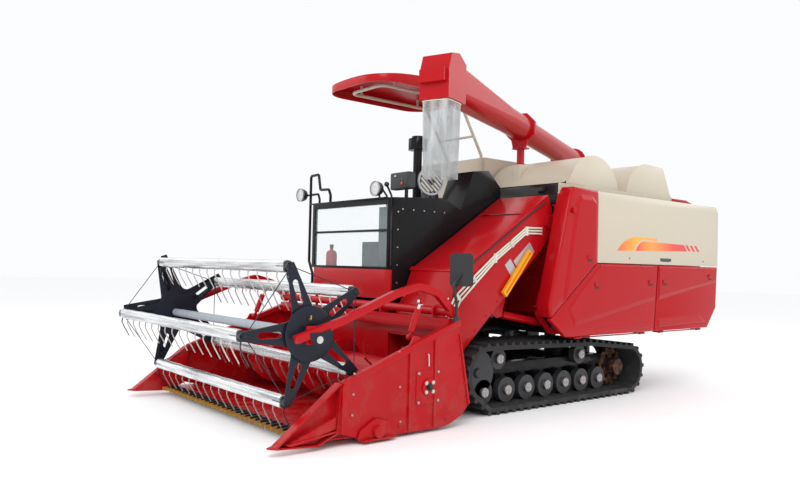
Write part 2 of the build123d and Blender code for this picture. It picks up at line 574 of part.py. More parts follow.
def header_sides():
    """The two side walls with folded top rails, ribs, auger bearing plates and the pins of the reel lift."""
    wall = make_face([
        Line((-2225, 420), (-1185, 800)), Line((-1185, 800), (-1185, 690)),
                      Line((-1185, 690), (-1075, 170)),
        Line((-1075, 170), (-1130, 110)), ThreePointArc((-1130, 110), (-1250, 48), (-1400, 26)),
        Line((-1400, 26), (-1813, 26)), Line((-1813, 26), (-2050, 30)), Line((-2050, 30), (-2252, 90)),
        Line((-2252, 90), (-2225, 420))])
    plane = Plane(origin=(0, 0, 0), x_dir=(0, 1, 0), z_dir=(1, 0, 0))
    x0 = CUT_HALF - WALL
    side = Pos(x0, 0, 0) * extrude(plane * wall, amount=WALL, dir=(1, 0, 0))
    rail = [RAIL_FRONT, RAIL_REAR, (RAIL_REAR[0], RAIL_REAR[1] - 45), (RAIL_FRONT[0], RAIL_FRONT[1] - 45)]
    side += prism_x(rail, x0 - 30, CUT_HALF + 10)
    side += prism_x([(-1183, 690), (-1075, 170), (-1092, 162), (-1196.6, 690)], x0 - 20, CUT_HALF + 10)
    for y, foot in ((-1665, 40), (-1432, 40)):
        side += block(CUT_HALF, CUT_HALF + 14, y - 9, y + 9, foot, rail_z(y) - 40)
    side += prism_x([(-2235, 400), (-2240, 90), (-2215, 80), (-2190, 400)], CUT_HALF, CUT_HALF + 14)
    side += block(CUT_HALF, CUT_HALF + 6, AUGER_Y - 110, AUGER_Y + 110, AUGER_Z - 120, AUGER_Z + 120)
    bore = AUGER_SHAFT_R + PIN_FIT
    side += ring_x(AUGER_Y, AUGER_Z, 62, bore, CUT_HALF + 6, CUT_HALF + 22)
    side -= disc_x(AUGER_Y, AUGER_Z, bore, x0 - 1, CUT_HALF + 7)
    y, z = REEL_LIFT_FOOT
    side += prism_x([(y - 60, rail_z(y - 60) - 10), (y - 16, z + 16), (y + 16, z + 16),
                     (y + 60, rail_z(y + 60) - 10)],
                    x0 - 30, x0 - 16)
    side += disc_x(y, z, 10, REEL_LIFT_X - 14, x0 - 20)
    return mirrored(side)


def header_trough():
    """The floor, the trough round the auger and the back wall, with the feeder's mouth cut through."""
    c, floor = (AUGER_Y, AUGER_Z), AUGER_Z - TROUGH_R
    inner = [Line((-2320, 62), (-2320, 56)), Line((-2320, 56), (AUGER_Y, floor - SHEET)),
             ThreePointArc((c[0], floor - SHEET), (c[0] + (TROUGH_R + SHEET) * cos(pi / 4),
                           c[1] - (TROUGH_R + SHEET) * sin(pi / 4)), (c[0] + TROUGH_R + SHEET, c[1])),
             Line((c[0] + TROUGH_R + SHEET, c[1]), (c[0] + TROUGH_R + SHEET, 712)),
             Line((c[0] + TROUGH_R + SHEET, 712), (c[0] + TROUGH_R, 712)),
             Line((c[0] + TROUGH_R, 712), (c[0] + TROUGH_R, c[1])),
             ThreePointArc((c[0] + TROUGH_R, c[1]),
                           (c[0] + TROUGH_R * cos(pi / 4), c[1] - TROUGH_R * sin(pi / 4)),
                           (c[0], floor)),
             Line((c[0], floor), (-2320, 62))]
    plane = Plane(origin=(0, 0, 0), x_dir=(0, 1, 0), z_dir=(1, 0, 0))
    half = CUT_HALF - WALL
    trough = Pos(-half, 0, 0) * extrude(plane * make_face(inner), amount=2 * half, dir=(1, 0, 0))
    return trough - block(FEEDER_RIGHT + 20, FEEDER_LEFT - 20, AUGER_Y + 150, AUGER_Y + 400, MOUTH_LOW,
                          MOUTH_HIGH)


def header_frame():
    """The back frame: top beam, lower beams beside the feeder, slanted ribs and the reel's brackets."""
    half, back = CUT_HALF - WALL - 30, AUGER_Y + TROUGH_R + SHEET
    parts = [block(-half, half, -1275, -1185, 712, 800)]
    lower = [(back, 150), (back, 260), (-1095, 240), (-1080, 180), (-1100, 150)]
    for x0, x1 in ((-half, FEEDER_RIGHT - 4), (FEEDER_LEFT + 4, half)):
        parts.append(prism_x(lower, x0, x1))
    for x in (-1100, -700, -300, 60, 1120):
        parts.append(prism_x([(back, 250), (back, 712), (-1189, 712), (-1095, 235)], x, x + 10))
    frame = fused(parts)
    # the middle one passes between the platform and the feeder
    for x in (-1060, FEEDER_RIGHT - 17, 1030):
        frame += prism_x([(-1275, 800), (-1272, 875), (-1250, 898), (-1205, 898), (-1186, 875),
                          (-1186, 800)],
                         x, x + 14)
    return frame - disc_x(ARM_PIVOT_Y, ARM_PIVOT_Z, REEL_TUBE_R + PIN_FIT, -1200, 1200)


def crop_dividers():
    """The pointed dividers ahead of the side walls: open on their outer side, with a rim and two ribs."""
    outline = [(-2700, 46), (-2408, 28), (-2256, 88), (-2229, 412), (-2249, 412), (-2706, 66)]
    x0, x1 = CUT_HALF - 62, CUT_HALF
    shape = prism_x(outline, x0, x1)
    shape -= prism_x(inset_outline(outline, [10, 10, 10, 12, 12, 10]), x0 + 6, x1 + 1)
    shape += prism_x([(-2268, 120), (-2262, 200), (-2600, 74), (-2560, 62)], x0 + 6, x1 - 12)
    shape += prism_x([(-2256, 100), (-2253, 110), (-2640, 66), (-2600, 52)], x0 + 6, x1 - 4)
    tip = loft([Plane.XZ.offset(2700) * Pos((x0 + x1) / 2, 56) * Rectangle(x1 - x0, 20),
                Plane.XZ.offset(2755) * Pos((x0 + x1) / 2, 58) * Rectangle(16, 8)])
    return mirrored(shape + tip)


def cutter_bar():
    """The knife bar with its row of pointed guards and the sections between them."""
    half = CUT_HALF - 64
    bar = block(-half, half, -2400, -2320.3, 46, 62)
    guard = prism_z([(-9, -2400), (-9, -2425), (-2, -2478), (2, -2478), (9, -2425), (9, -2400)], 46, 70)
    guard += prism_z([(-9, -2400), (9, -2400), (12, -2340), (-12, -2340)], 62, 72)
    count = int(2 * half / KNIFE_PITCH)
    for i in range(count):
        bar += Pos((i - (count - 1) / 2) * KNIFE_PITCH, 0, 0) * guard
    return bar


def knife_drive():
    """The skid and the small housing of the knife's drive outside the left wall."""
    x = CUT_HALF + 14
    box = prism_x([(-2110, 34), (-2060, 20), (-1800, 20), (-1790, 40), (-1850, 130), (-1960, 160),
                   (-2090, 90)],
                  CUT_HALF, x)
    return box + disc_x(-1950, 75, 42, x, x + 34) + block(x, x + 30, -2080, -1800, 20, 32)


def flight(start, length, hand):
    """One helical flight round the drum."""
    path = Helix(pitch=FLIGHT_PITCH, height=length, radius=DRUM_R, lefthand=hand < 0)
    width = FLIGHT_R - DRUM_R
    across = Plane(origin=path @ 0, x_dir=(1, 0, 0), z_dir=(0, 1, 0))
    section = across * Pos(width / 2 - 3, 0) * Rectangle(width + 6, 5)
    turn = sweep(section, path=path, binormal=Edge.make_line((0, 0, 0), (0, 0, length)))
    return Plane(origin=(start, AUGER_Y, AUGER_Z), x_dir=(0, 1, 0), z_dir=(1, 0, 0)) * turn


def header_auger():
    """The cross auger: a drum with a flight of each hand and fingers in front of the feeder's mouth."""
    end, mid0, mid1 = CUT_HALF - 70, FEEDER_RIGHT + 40, FEEDER_LEFT - 40
    shape = disc_x(AUGER_Y, AUGER_Z, DRUM_R, -end, end)
    shape += disc_x(AUGER_Y, AUGER_Z, AUGER_SHAFT_R, -CUT_HALF - 12, CUT_HALF + 12)
    shape += flight(-end + 10, mid0 + end - 10, 1)
    shape += flight(mid1, end - 10 - mid1, -1)
    for i in range(9):
        x, turn = mid0 + 40 + (mid1 - mid0 - 80) * i / 8, radians(100 * i)
        y, z = cos(turn), sin(turn)
        shape += rod((x, AUGER_Y + y * (DRUM_R - 5), AUGER_Z + z * (DRUM_R - 5)),
                     (x, AUGER_Y + y * (FLIGHT_R + 5), AUGER_Z + z * (FLIGHT_R + 5)), 8)
    return shape


def feeder_outline(inset=0.0):
    """Side outline of the feeder house, or of its inside."""
    outline = [(AUGER_Y + TROUGH_R + SHEET, 120), (-1105, 330), (-605, 780), (40, 1360), (150, 1480),
               (172, 1700), (115, 1840), (-565, 1402), (-945, 1165), (-1015, 985), (-1160, 690),
               (AUGER_Y + TROUGH_R + SHEET, 640)]
    if not inset:
        return outline
    shifts = [inset] * len(outline)
    shifts[3] = shifts[4] = shifts[5] = shifts[-1] = -30
    return inset_outline(outline, shifts)


def feeder_house():
    """The feeder: a box of sheet open at both ends, its shaft, seam flange and lift bracket."""
    shell = prism_x(feeder_outline(), FEEDER_RIGHT, FEEDER_LEFT)
    shell -= prism_x(feeder_outline(WALL), FEEDER_RIGHT + WALL, FEEDER_LEFT - WALL)
    shell += prism_x([(-962, 1150), (-938, 1182), (-915, 1172), (-945, 1140)], FEEDER_RIGHT - 14,
                     FEEDER_LEFT + 14)
    shell += disc_x(PIVOT_Y, PIVOT_Z, PIVOT_R, FEEDER_RIGHT - 17, FEEDER_LEFT + 17)
    y, z = LIFT_EYE
    for x in (LIFT_X - 36, LIFT_X + 22):
        shell += prism_x([(y - 150, 826), (y - 30, z - 34), (y + 34, z - 20), (y + 40, z + 30),
                          (y + 110, 1062)],
                         x, x + 14)
    shell += disc_x(y, z, LIFT_PIN_R, LIFT_X - 36, LIFT_X + 36)
    return shell


def safety_stop():
    """The yellow lift lock, a channel stowed along the feeder's left side on its pin."""
    x = FEEDER_LEFT
    channel = prism_x([(-450, 1010), (-410, 972), (-90, 1338), (-130, 1376)], x + 4, x + 34)
    channel -= prism_x([(-425, 1010), (-408, 994), (-108, 1338), (-128, 1356)], x + 12, x + 35)
    stop = channel + disc_x(-410, 1010, 9, x, x + 20) + disc_x(-140, 1315, 9, x, x + 20)
    return Pos(0, *STOP_DOWN) * stop


def hydraulic_pipes():
    """Three steel pipes clipped along the feeder's left side."""
    x = FEEDER_LEFT + 12
    shapes = []
    for i in range(3):
        d = 24 * i
        route = [(x, -1100 + d, 800 - d), (x, -1000 + d, 960 - d), (x, -560, 1290 - d), (x, -180, 1535 - d),
                 (x, 20, 1540 - d)]
        shapes.append(bent_tube(route, 8, 40))
    clips = [block(x - 12, x + 14, y - 10, y + 10, z - 62, z + 14) for y, z in ((-560, 1290), (-180, 1530))]
    return fused(shapes + clips)


def lift_parts():
    """The header's lift cylinder between its pins: barrel with the rear eye, rod with the front eye."""
    (y0, z0), (y1, z1) = LIFT_BARREL, LIFT_EYE
    return cylinder_pair((LIFT_X, y0, z0), (LIFT_X, y1, z1), LIFT_BARREL_R, 18, LIFT_PIN_R, 20, LIFT_PLAY)


def cylinder_pair(foot, eye, barrel_r, rod_r, pin_r, half_eye, play):
    """Barrel and rod of a hydraulic cylinder between two pins along X, drawn fully closed."""
    foot, eye = Vector(*foot), Vector(*eye)
    along = (eye - foot).normalized()
    length = (eye - foot).length
    eye_r = pin_r + 12
    gland = foot + along * (length - eye_r - 34)
    barrel = rod(tuple(foot + along * (eye_r - 2)), tuple(foot + along * (eye_r + 22)), half_eye)
    barrel += rod(tuple(foot + along * (eye_r + 18)), tuple(gland), barrel_r)
    barrel += disc_x(foot.Y, foot.Z, eye_r, foot.X - half_eye, foot.X + half_eye)
    bore_start = foot + along * (eye_r + 26)
    barrel -= rod(tuple(bore_start), tuple(gland + along), rod_r + PIN_FIT)
    barrel -= disc_x(foot.Y, foot.Z, pin_r + PIN_FIT, foot.X - 60, foot.X + 60)
    tail = foot + along * (eye_r + 32)
    piston = rod(tuple(tail), tuple(eye - along * (eye_r - 3)), rod_r)
    piston += disc_x(eye.Y, eye.Z, eye_r, eye.X - half_eye, eye.X + half_eye)
    piston -= disc_x(eye.Y, eye.Z, pin_r + play, eye.X - 60, eye.X + 60)
    return barrel, piston


def header_mirror():
    """The mirror on its bent tube, clamped to the rear end of the left top rail."""
    x, y, z = CUT_HALF, -1225.0, rail_z(-1225.0)
    arm = bent_tube([(x, y, z + 12), (x, y, z + 130), (x - 30, y - 10, z + 270),
                     (x - 44, y + 84, z + 345)], 11, 40)
    clamp = prism_x([(y - 24, rail_z(y - 24) + 0.3), (y + 24, rail_z(y + 24) + 0.3), (y + 24, z + 34),
                     (y - 24, z + 34)],
                    x - 12, x + 10)
    glass = Plane(origin=(x - 50, y + 92, z + 380), x_dir=(0.8, 0.6, 0),
                  z_dir=(0.6, -0.8, 0)) * RectangleRounded(
        175, 250, 30)
    return clamp + arm + extrude(glass, amount=15, both=True)


# ================================================================ reel
def reel_arms():
    """The two box arms with their cross tube, the lift lugs and the reel's bearing brackets."""
    route = Plane.YZ * FilletPolyline(
        (ARM_PIVOT_Y, ARM_PIVOT_Z), (-1380, 992), (-1565, 1042), (-1780, 985), (-2225, 812),
                                      (REEL_Y - 160, 706),
        radius=110)
    arm = sweep(Plane(route @ 0, x_dir=(1, 0, 0), z_dir=route % 0) * Rectangle(ARM_SIZE, ARM_SIZE),
                path=route)
    arm = Pos(ARM_X, 0, 0) * arm
    arm += disc_x(ARM_PIVOT_Y, ARM_PIVOT_Z, 44, ARM_X - 25, ARM_X + 25)
    inner = ARM_X - ARM_SIZE / 2
    y, z = REEL_LIFT_EYE
    arm += prism_x([(y - 40, 1010), (y - 18, z - 14), (y + 18, z - 14), (y + 45, 1010)], inner - 14, inner)
    arm += disc_x(y, z, 10, REEL_LIFT_X - 14, inner)
    bracket = block(inner - 16, inner, REEL_Y - 62, REEL_Y + 62, REEL_Z - 62, REEL_Z + 56)
    arm = arm + bracket - disc_x(REEL_Y, REEL_Z, SHAFT_R + PIN_FIT, inner - 20, inner + 1)
    arms = fused(mirrored(arm))
    hub_y, hub_z = REEL_Y + ECC_Y, REEL_Z + ECC_Z
    hub = disc_x(hub_y, hub_z, ECC_HUB_R, -inner + 16, -ECC_X)
    hub -= disc_x(REEL_Y, REEL_Z, SHAFT_R + PIN_FIT, -inner - 1, -ECC_X + 1)
    return arms + hub + disc_x(ARM_PIVOT_Y, ARM_PIVOT_Z, REEL_TUBE_R, -inner, inner)


def star_plate(bore):
    """One five-armed spider: tapered, slotted arms, rounded where they meet, and a bore in the middle."""
    turns = [Rot(0, 0, REEL_PHASE + 360 / REEL_ARMS * i) for i in range(REEL_ARMS)]
    arm = make_face(Polyline((0, -105), (REEL_R - 20, -34), (REEL_R + 22, -26), (REEL_R + 22, 26),
                             (REEL_R - 20, 34), (0, 105), close=True))
    star = fused([turn * arm for turn in turns])
    star = fillet([v for v in star.vertices() if 130 < hypot(v.X, v.Y) < 170], 60)
    for turn in turns:
        star -= turn * Pos(REEL_R - 175, 0) * SlotOverall(170, 42)
        star -= turn * Pos(REEL_R, 0) * Circle(PIN_R + PIN_FIT)
    star -= Circle(bore)
    face = Plane(origin=(0, 0, 0), x_dir=(0, 1, 0), z_dir=(1, 0, 0)) * star
    return extrude(face, amount=STAR_PLATE, dir=(1, 0, 0))


def bar_centres():
    """(y, z) of the five tine bars."""
    turns = [radians(REEL_PHASE - 360 / REEL_ARMS * i) for i in range(REEL_ARMS)]
    return [(REEL_Y + REEL_R * cos(a), REEL_Z + REEL_R * sin(a)) for a in turns]


def reel_rotor():
    """The reel's shaft with both spiders, the outer disc and the rods that tie the spiders' tips."""
    shape = disc_x(REEL_Y, REEL_Z, 32, -STAR_X + STAR_PLATE, STAR_X - STAR_PLATE)
    end = ARM_X - ARM_SIZE / 2 - 2
    shape += disc_x(REEL_Y, REEL_Z, SHAFT_R, -end, end)
    for x in (-STAR_X, STAR_X - STAR_PLATE):
        shape += Pos(x, REEL_Y, REEL_Z) * star_plate(SHAFT_R / 2)
    shape += disc_x(REEL_Y, REEL_Z, 140, STAR_X, STAR_X + 12)
    shape += disc_x(REEL_Y, REEL_Z, 60, STAR_X + 12, STAR_X + 30)
    centres = bar_centres()
    for x in (-STAR_X + 3, STAR_X - 3):
        for (y0, z0), (y1, z1) in zip(centres, centres[1:] + centres[:1]):
            k = 18 / hypot(y1 - y0, z1 - z0)
            shape += rod((x, y0 + (y1 - y0) * k, z0 + (z1 - z0) * k),
                         (x, y1 - (y1 - y0) * k, z1 - (z1 - z0) * k), 3)
    return shape


def eccentric_spider():
    """The second spider at the right end, which runs on the off-centre hub and keeps the tines upright."""
    return Pos(-ECC_X - STAR_PLATE, REEL_Y + ECC_Y, REEL_Z + ECC_Z) * star_plate(ECC_HUB_R + PIN_FIT)


def tine_bar(y, z):
    """A bat with its row of spring tines, its end pins and the crank that the eccentric spider guides."""
    end = STAR_X - STAR_PLATE - 4
    bar = disc_x(y, z, BAT_R, -end, end)
    bar += disc_x(y, z, PIN_R, -CRANK_X - 8, STAR_X + 4)
    outline = [(-10, -BAT_R + 6), (-14, -70), (10, -120), (52, -TINE_DROP), (57, -TINE_DROP + 3),
               (17, -118),
               (-7, -71), (-2, -BAT_R + 6)]
    tine = prism_x([(y + dy, z + dz) for dy, dz in outline], -3, 3)
    for i in range(TINE_COUNT):
        bar += Pos((i - (TINE_COUNT - 1) / 2) * 2 * (end - 25) / (TINE_COUNT - 1), 0, 0) * tine
    turn = degrees(atan2(ECC_Z, ECC_Y))
    arm = Pos(hypot(ECC_Y, ECC_Z) / 2, 0) * SlotCenterToCenter(hypot(ECC_Y, ECC_Z), 36)
    face = Plane(origin=(0, 0, 0), x_dir=(0, 1, 0), z_dir=(1, 0, 0)) * (Rot(0, 0, turn) * arm)
    bar += Pos(-CRANK_X - 8, y, z) * extrude(face, amount=8, dir=(1, 0, 0))
    return bar + disc_x(y + ECC_Y, z + ECC_Z, PIN_R, -ECC_X - STAR_PLATE - 2, -CRANK_X)


def reel_lift_parts():
    """Barrels and rods of the two reel lift cylinders."""
    (y0, z0), (y1, z1) = REEL_LIFT_FOOT, REEL_LIFT_EYE
    barrel, piston = cylinder_pair((REEL_LIFT_X, y0, z0), (REEL_LIFT_X, y1, z1), 24, 11, PIN_R, 13,
                                   REEL_PLAY)
    return mirrored(barrel), mirrored(piston)


# ================================================================ grain tank and unloader
def grain_tank():
    """The tank: a sheet shell with a sloping floor, a sump and a round-cornered filling hatch on top."""
    outer = [(RIGHT_WALL_X, TANK_TOP), (RIGHT_WALL_X, 1290), (-430, 730), (-300, DECK_Z), (-180, DECK_Z),
             (-20, 860), (-20, TANK_TOP)]
    tank = prism_y(outer, TANK_FRONT, TANK_REAR)
    inner = inset_outline(outer, [SHEET] * len(outer))
    tank -= prism_y(inner, TANK_FRONT + SHEET, TANK_REAR - SHEET)
    x0, x1, y0, y1 = LID
    return tank - block(x0 + 20, x1 - 20, y0 + 20, y1 - 20, TANK_TOP - 10, TANK_TOP + 5) + tank_hinge()


def tank_hinge():
    """Two ears and the rod that the tank's lid turns on."""
    x0, x1, _, y1 = LID
    shape = rod((x0 + 40, y1 + 14, LID_HINGE_Z), (x1 - 40, y1 + 14, LID_HINGE_Z), HINGE_R)
    for x in (x0 + 40, x1 - 50):
        shape += block(x, x + 10, y1 + 5, y1 + 23, TANK_TOP, LID_HINGE_Z + 9)
    return shape


def tank_lid():
    """The lid over the filling hatch, with a turned-down rim, a handle and its hinge tubes."""
    x0, x1, y0, y1 = LID
    z = TANK_TOP + 0.5
    lid = block(x0, x1, y0, y1, z, z + 24) - block(x0 + 5, x1 - 5, y0 + 5, y1 - 5, z - 1, z + 20)
    for x in (x0 + 70, x1 - 150):
        tube = rod((x, y1 + 14, LID_HINGE_Z), (x + 80, y1 + 14, LID_HINGE_Z), KNUCKLE_R)
        tube += block(x, x + 80, y1 - 4, y1 + 14, z + 20, z + 24)
        lid += tube - rod((x - 1, y1 + 14, LID_HINGE_Z), (x + 81, y1 + 14, LID_HINGE_Z), HINGE_R + PIN_FIT)
    mid = (x0 + x1) / 2
    return lid + bent_tube([(mid - 60, y0 + 40, z + 22), (mid - 60, y0 + 40, z + 55),
                            (mid + 60, y0 + 40, z + 55),
                            (mid + 60, y0 + 40, z + 22)], 6, 12)


def fuel_tank():
    """The fuel tank under the grain tank's slope on the right."""
    tank = block(-930, -600, 500, 1600, DECK_Z, 850)
    tank = fillet(tank.edges().filter_by(Axis.Y), 28)
    return tank + rod((-860, 640, 840), (-860, 640, 874), 38)


def unloader_column():
    """The upright auger behind the tank, with its foot box and top flange."""
    shape = rod((TURRET_X, TURRET_Y, DECK_Z + 160), (TURRET_X, TURRET_Y, TURRET_BASE), 105)
    shape += block(TURRET_X - 115, TURRET_X + 115, TANK_REAR, TURRET_Y + 115, DECK_Z, DECK_Z + 200)
    shape += rod((TURRET_X, TURRET_Y, TURRET_BASE - 14), (TURRET_X, TURRET_Y, TURRET_BASE), 138)
    for z in (1200, 2000):
        shape += block(TURRET_X - 60, TURRET_X + 60, TANK_REAR, TURRET_Y, z, z + 30)
    return shape


def unload_plane():
    """Local frame of the unloader: origin on its lift pivot, X along the parked tube's level direction."""
    dx, dy = UNLOAD_REST[0] - TURRET_X, UNLOAD_REST[1] - TURRET_Y
    size = hypot(dx, dy)
    return Plane(origin=(TURRET_X, TURRET_Y, TURRET_Z), x_dir=(dx / size, dy / size, 0), z_dir=(0, 0, 1))


def unloader_turret():
    """The turning head on the column: a drum, two cheeks with the lift pivot, and the cylinder's foot."""
    low = TURRET_BASE + TURN_GAP - TURRET_Z
    shape = rod((0, 0, low), (0, 0, low + 14), 138) + rod((0, 0, low), (0, 0, -TUBE_R - 22), 112)
    for y in (-TUBE_R - 27, TUBE_R + 7):
        cheek = Plane.XZ * make_face(Polyline((-75, -TUBE_R - 22), (-60, 10), (-30, 42), (30, 42), (60, 10),
                                              (75, -TUBE_R - 22), close=True))
        shape += Pos(0, y + 20, 0) * extrude(cheek, amount=20)
        shape -= rod((0, y - 1, 0), (0, y + 21, 0), 18 + PIN_FIT)
    shape += block(-75, 75, -TUBE_R - 27, TUBE_R + 27, -TUBE_R - 31, -TUBE_R - 22)
    fx, fz = UNLOAD_FOOT
    shape += rod((fx, UNLOAD_CYL_Y - 14, fz), (fx, -TUBE_R - 20, fz), PIN_R)
    return unload_plane() * shape


def unloader_tube():
    """The lifting tube: rear round tube, bolted flange, wider front duct and the outlet box."""
    tilt, d = Rot(0, -UNLOAD_TILT, 0), OUTLET
    rest = hypot(UNLOAD_REST[0] - TURRET_X, UNLOAD_REST[1] - TURRET_Y)
    shape = rod((-20, 0, 0), (rest, 0, 0), TUBE_R) + Sphere(TUBE_R)
    shape += rod((150, 0, 0), (172, 0, 0), TUBE_R + 30)
    joint = Plane(origin=(rest - 12, 0, 0), z_dir=(1, 0, 0))
    flange = joint * RegularPolygon(TUBE_R + 45, 8, rotation=22.5)
    shape += extrude(flange, amount=32)
    front = Plane(origin=(rest + 20, 0, 0), z_dir=(1, 0, 0))
    box = Plane(origin=(d, 0, 10), x_dir=(0, 1, 0), z_dir=(1, 0, 0))
    shape += extrude(front * Circle(TUBE_R + 8), amount=430)
    start = Plane(origin=(rest + 440, 0, 0), x_dir=(0, 1, 0), z_dir=(1, 0, 0))
    shape += loft([start * RectangleRounded(2 * TUBE_R + 15, 2 * TUBE_R + 15, TUBE_R),
                   box * RectangleRounded(2 * TUBE_R + 20, 2 * TUBE_R + 50, 60)])
    shape = tilt * shape
    head_z = d * tan(radians(UNLOAD_TILT))
    head = Plane.XZ * make_face(Polyline((d - 12, head_z - 165), (d - 12, head_z + 150),
                                         (d + 110, head_z + 215),
                                         (d + 240, head_z + 190), (d + 285, head_z + 60),
                                         (d + 285, head_z - 165),
                                         close=True))
    shape += Pos(0, 130, 0) * extrude(head, amount=260)
    shape -= block(d + 30, d + 270, -118, 118, head_z - 200, head_z - 120)
    shape += block(d + 240, d + 330, -110, 110, head_z - 40, head_z + 60)
    for y in (-TUBE_R - 27, TUBE_R - 6):
        shape += rod((0, y, 0), (0, y + 33, 0), 18)
    saddle = Plane.YZ * make_face(Polyline((-100, -60), (-70, SADDLE_Z), (70, SADDLE_Z), (100, -60),
                                           close=True))
    rise = rest * tan(radians(UNLOAD_TILT))
    shape += Pos(rest + 22, 0, rise) * extrude(saddle, amount=14)
    ex, ez = UNLOAD_EYE
    shape += block(ex - 24, ex + 24, -TUBE_R - 14, -TUBE_R + 30, ez - 24, ez + 60)
    shape += rod((ex, UNLOAD_CYL_Y - 14, ez), (ex, -TUBE_R, ez), PIN_R)
    return unload_plane() * shape


def unload_cylinder():
    """Barrel and rod of the unloader's lift cylinder, on the tube's right side."""
    (d0, z0), (d1, z1), y = UNLOAD_FOOT, UNLOAD_EYE, UNLOAD_CYL_Y
    foot, eye = Vector(d0, y, z0), Vector(d1, y, z1)
    along, length, bore = (eye - foot).normalized(), (eye - foot).length, PIN_R + PIN_FIT
    gland = foot + along * (length * 0.72)
    barrel = rod(tuple(foot + along * 18), tuple(gland), 23) + rod((d0, y - 11, z0), (d0, y + 11, z0), 20)
    barrel -= rod(tuple(foot + along * 34), tuple(gland + along), bore)
    barrel -= rod((d0, y - 20, z0), (d0, y + 20, z0), bore)
    piston = rod(tuple(foot + along * 44), tuple(eye - along * 17), PIN_R)
    piston += rod((d1, y - 11, z1), (d1, y + 11, z1), 20)
    piston -= rod((d1, y - 20, z1), (d1, y + 20, z1), PIN_R + UNLOAD_PLAY)
    return unload_plane() * barrel, unload_plane() * piston


def spout_sleeve():
    """The clear sleeve under the outlet, as a plain tapered block with its real outer size."""
    top = OUTLET * tan(radians(UNLOAD_TILT)) - 165.3
    sleeve = loft([Plane(origin=(OUTLET + 150, 0, top)) * RectangleRounded(250, 246, 20),
                   Plane(origin=(OUTLET + 150, 0, top - 610)) * RectangleRounded(236, 226, 20)])
    return unload_plane() * sleeve


def rest_post():
    """The post that carries the parked unloader: a foot shaped to the drum cover, a square tube and a pad."""
    x, y = UNLOAD_REST
    rest = hypot(x - TURRET_X, y - TURRET_Y)
    top = TURRET_Z + rest * tan(radians(UNLOAD_TILT)) + SADDLE_Z - 0.4
    foot = block(x - 45, x + 45, y - 60, y + 60, 1990, 2200)
    foot -= disc_x(*HUMP, HUMP_R + 0.3, x - 50, x + 50)
    post = foot + block(x - 26, x + 26, y - 26, y + 26, 2190, top - 14)
    return post + block(x - 70, x + 70, y - 50, y + 50, top - 14, top)


# ================================================================ operator's place
def operator_platform():
    """The floor on its legs, the tall black panel beside the feeder and the entrance steps."""
    low = FLOOR_Z - FLOOR_THICK
    shape = block(CAB_RIGHT, CAB_LEFT - PANEL, CAB_FRONT, CAB_REAR, low, FLOOR_Z)
    for x, front, rear in ((-600, -1020, -540), (-110, -1020, -540), (250, -580, -500)):
        shape += block(x, x + 60, front, rear, DECK_Z, low)
    front, rear = CAB_FRONT - PANEL, 160
    panel = [(front, low), (rear, low), (rear, 1700), (-355, 1700), (-560, 1795), (front, 1760)]
    shape += prism_x(panel, CAB_LEFT - PANEL, CAB_LEFT)
    for z in (420, 706):
        shape += block(CAB_RIGHT - 40, CAB_RIGHT + 190, -1000, -640, z, z + 24)
    for y in (-1012, -640):
        shape += block(CAB_RIGHT - 40, CAB_RIGHT - 4, y, y + 12, 420, low + 40)
        shape += block(CAB_RIGHT - 4, CAB_RIGHT, y, y + 12, low, low + 40)
    return shape


def nose_panel():
    """The low rounded panel across the front of the platform."""
    x0, x1, y = -800, CAB_LEFT, CAB_FRONT
    plan = make_face([
        Line((x0, y), (x0, y - 10)), ThreePointArc((x0, y - 10), (x0 + 25, y - 52), (x0 + 70, y - 66)),
        ThreePointArc((x0 + 70, y - 66), (-200, y - 84), (x1 - 45, y - 66)),
        ThreePointArc((x1 - 45, y - 66), (x1 - 12, y - 53), (x1, y - 24)),
                      Line((x1, y - 24), (x1, y - PANEL)),
        Line((x1, y - PANEL), (x1 - PANEL, y - PANEL)), Line((x1 - PANEL, y - PANEL), (x1 - PANEL, y)),
        Line((x1 - PANEL, y), (x0, y))])
    return Pos(0, 0, 905) * extrude(plan, amount=245)


def windshield_frame():
    """The black frame of the low windshield: posts, top, middle and foot rails, and a cap along the top."""
    y0, y1, x0, x1 = CAB_FRONT - 62, CAB_FRONT - 34, -800, CAB_LEFT - 10
    shape = block(x0, x0 + 44, y0, y1, 1150, 1745) + block(x0, x1, y0, y1, 1700, 1745)
    shape += block(x0, x1, y0, y1, 1150, 1172) + block(x1 - 14, x1, y0, y1, 1150, 1745)
    shape += block(x0, x1, y0, y1 - 12, 1470, 1490)
    return shape + block(x0 - 10, x1 - 8, y0 - 30, y1 + 30, 1745, 1757)


def windshield_glass():
    """The two panes of the low windshield."""
    y0 = CAB_FRONT - 54
    return [block(-756, CAB_LEFT - 24, y0, y0 + 5, z0, z1) for z0, z1 in ((1172, 1470), (1490, 1700))]


def engine_hood():
    """The engine's hood behind the platform, open below: five flat sheets, one with the radiator's opening."""
    x0, x1, y0, y1, z0, z1 = CAB_RIGHT, HOOD_LEFT, CAB_REAR, TANK_FRONT, DECK_Z, HOOD_TOP
    under, front, rear = z1 - SHEET, y0 + SHEET, y1 - SHEET
    top = block(x0, x1, y0, y1, under, z1)
    ends = [block(x0, x1, y, y + SHEET, z0, under) for y in (y0, rear)]
    left_side, right_side = (block(x, x + SHEET, front, rear, z0, under) for x in (x1 - SHEET, x0))
    right_side -= block(x0 - 1, x0 + SHEET + 1, *SCREEN)
    return [top, *ends, left_side, right_side + screen_hinge()]


def screen_hinge():
    """Ears and rod of the radiator screen's hinge."""
    x, y = SCREEN_HINGE
    _, _, z0, z1 = SCREEN
    shape = rod((x, y, z0 + 10), (x, y, z1 - 10), HINGE_R)
    for z in (z0 + 10, z1 - 20):
        shape += block(x - 8, CAB_RIGHT, y - 8, y + 8, z, z + 10)
    return shape


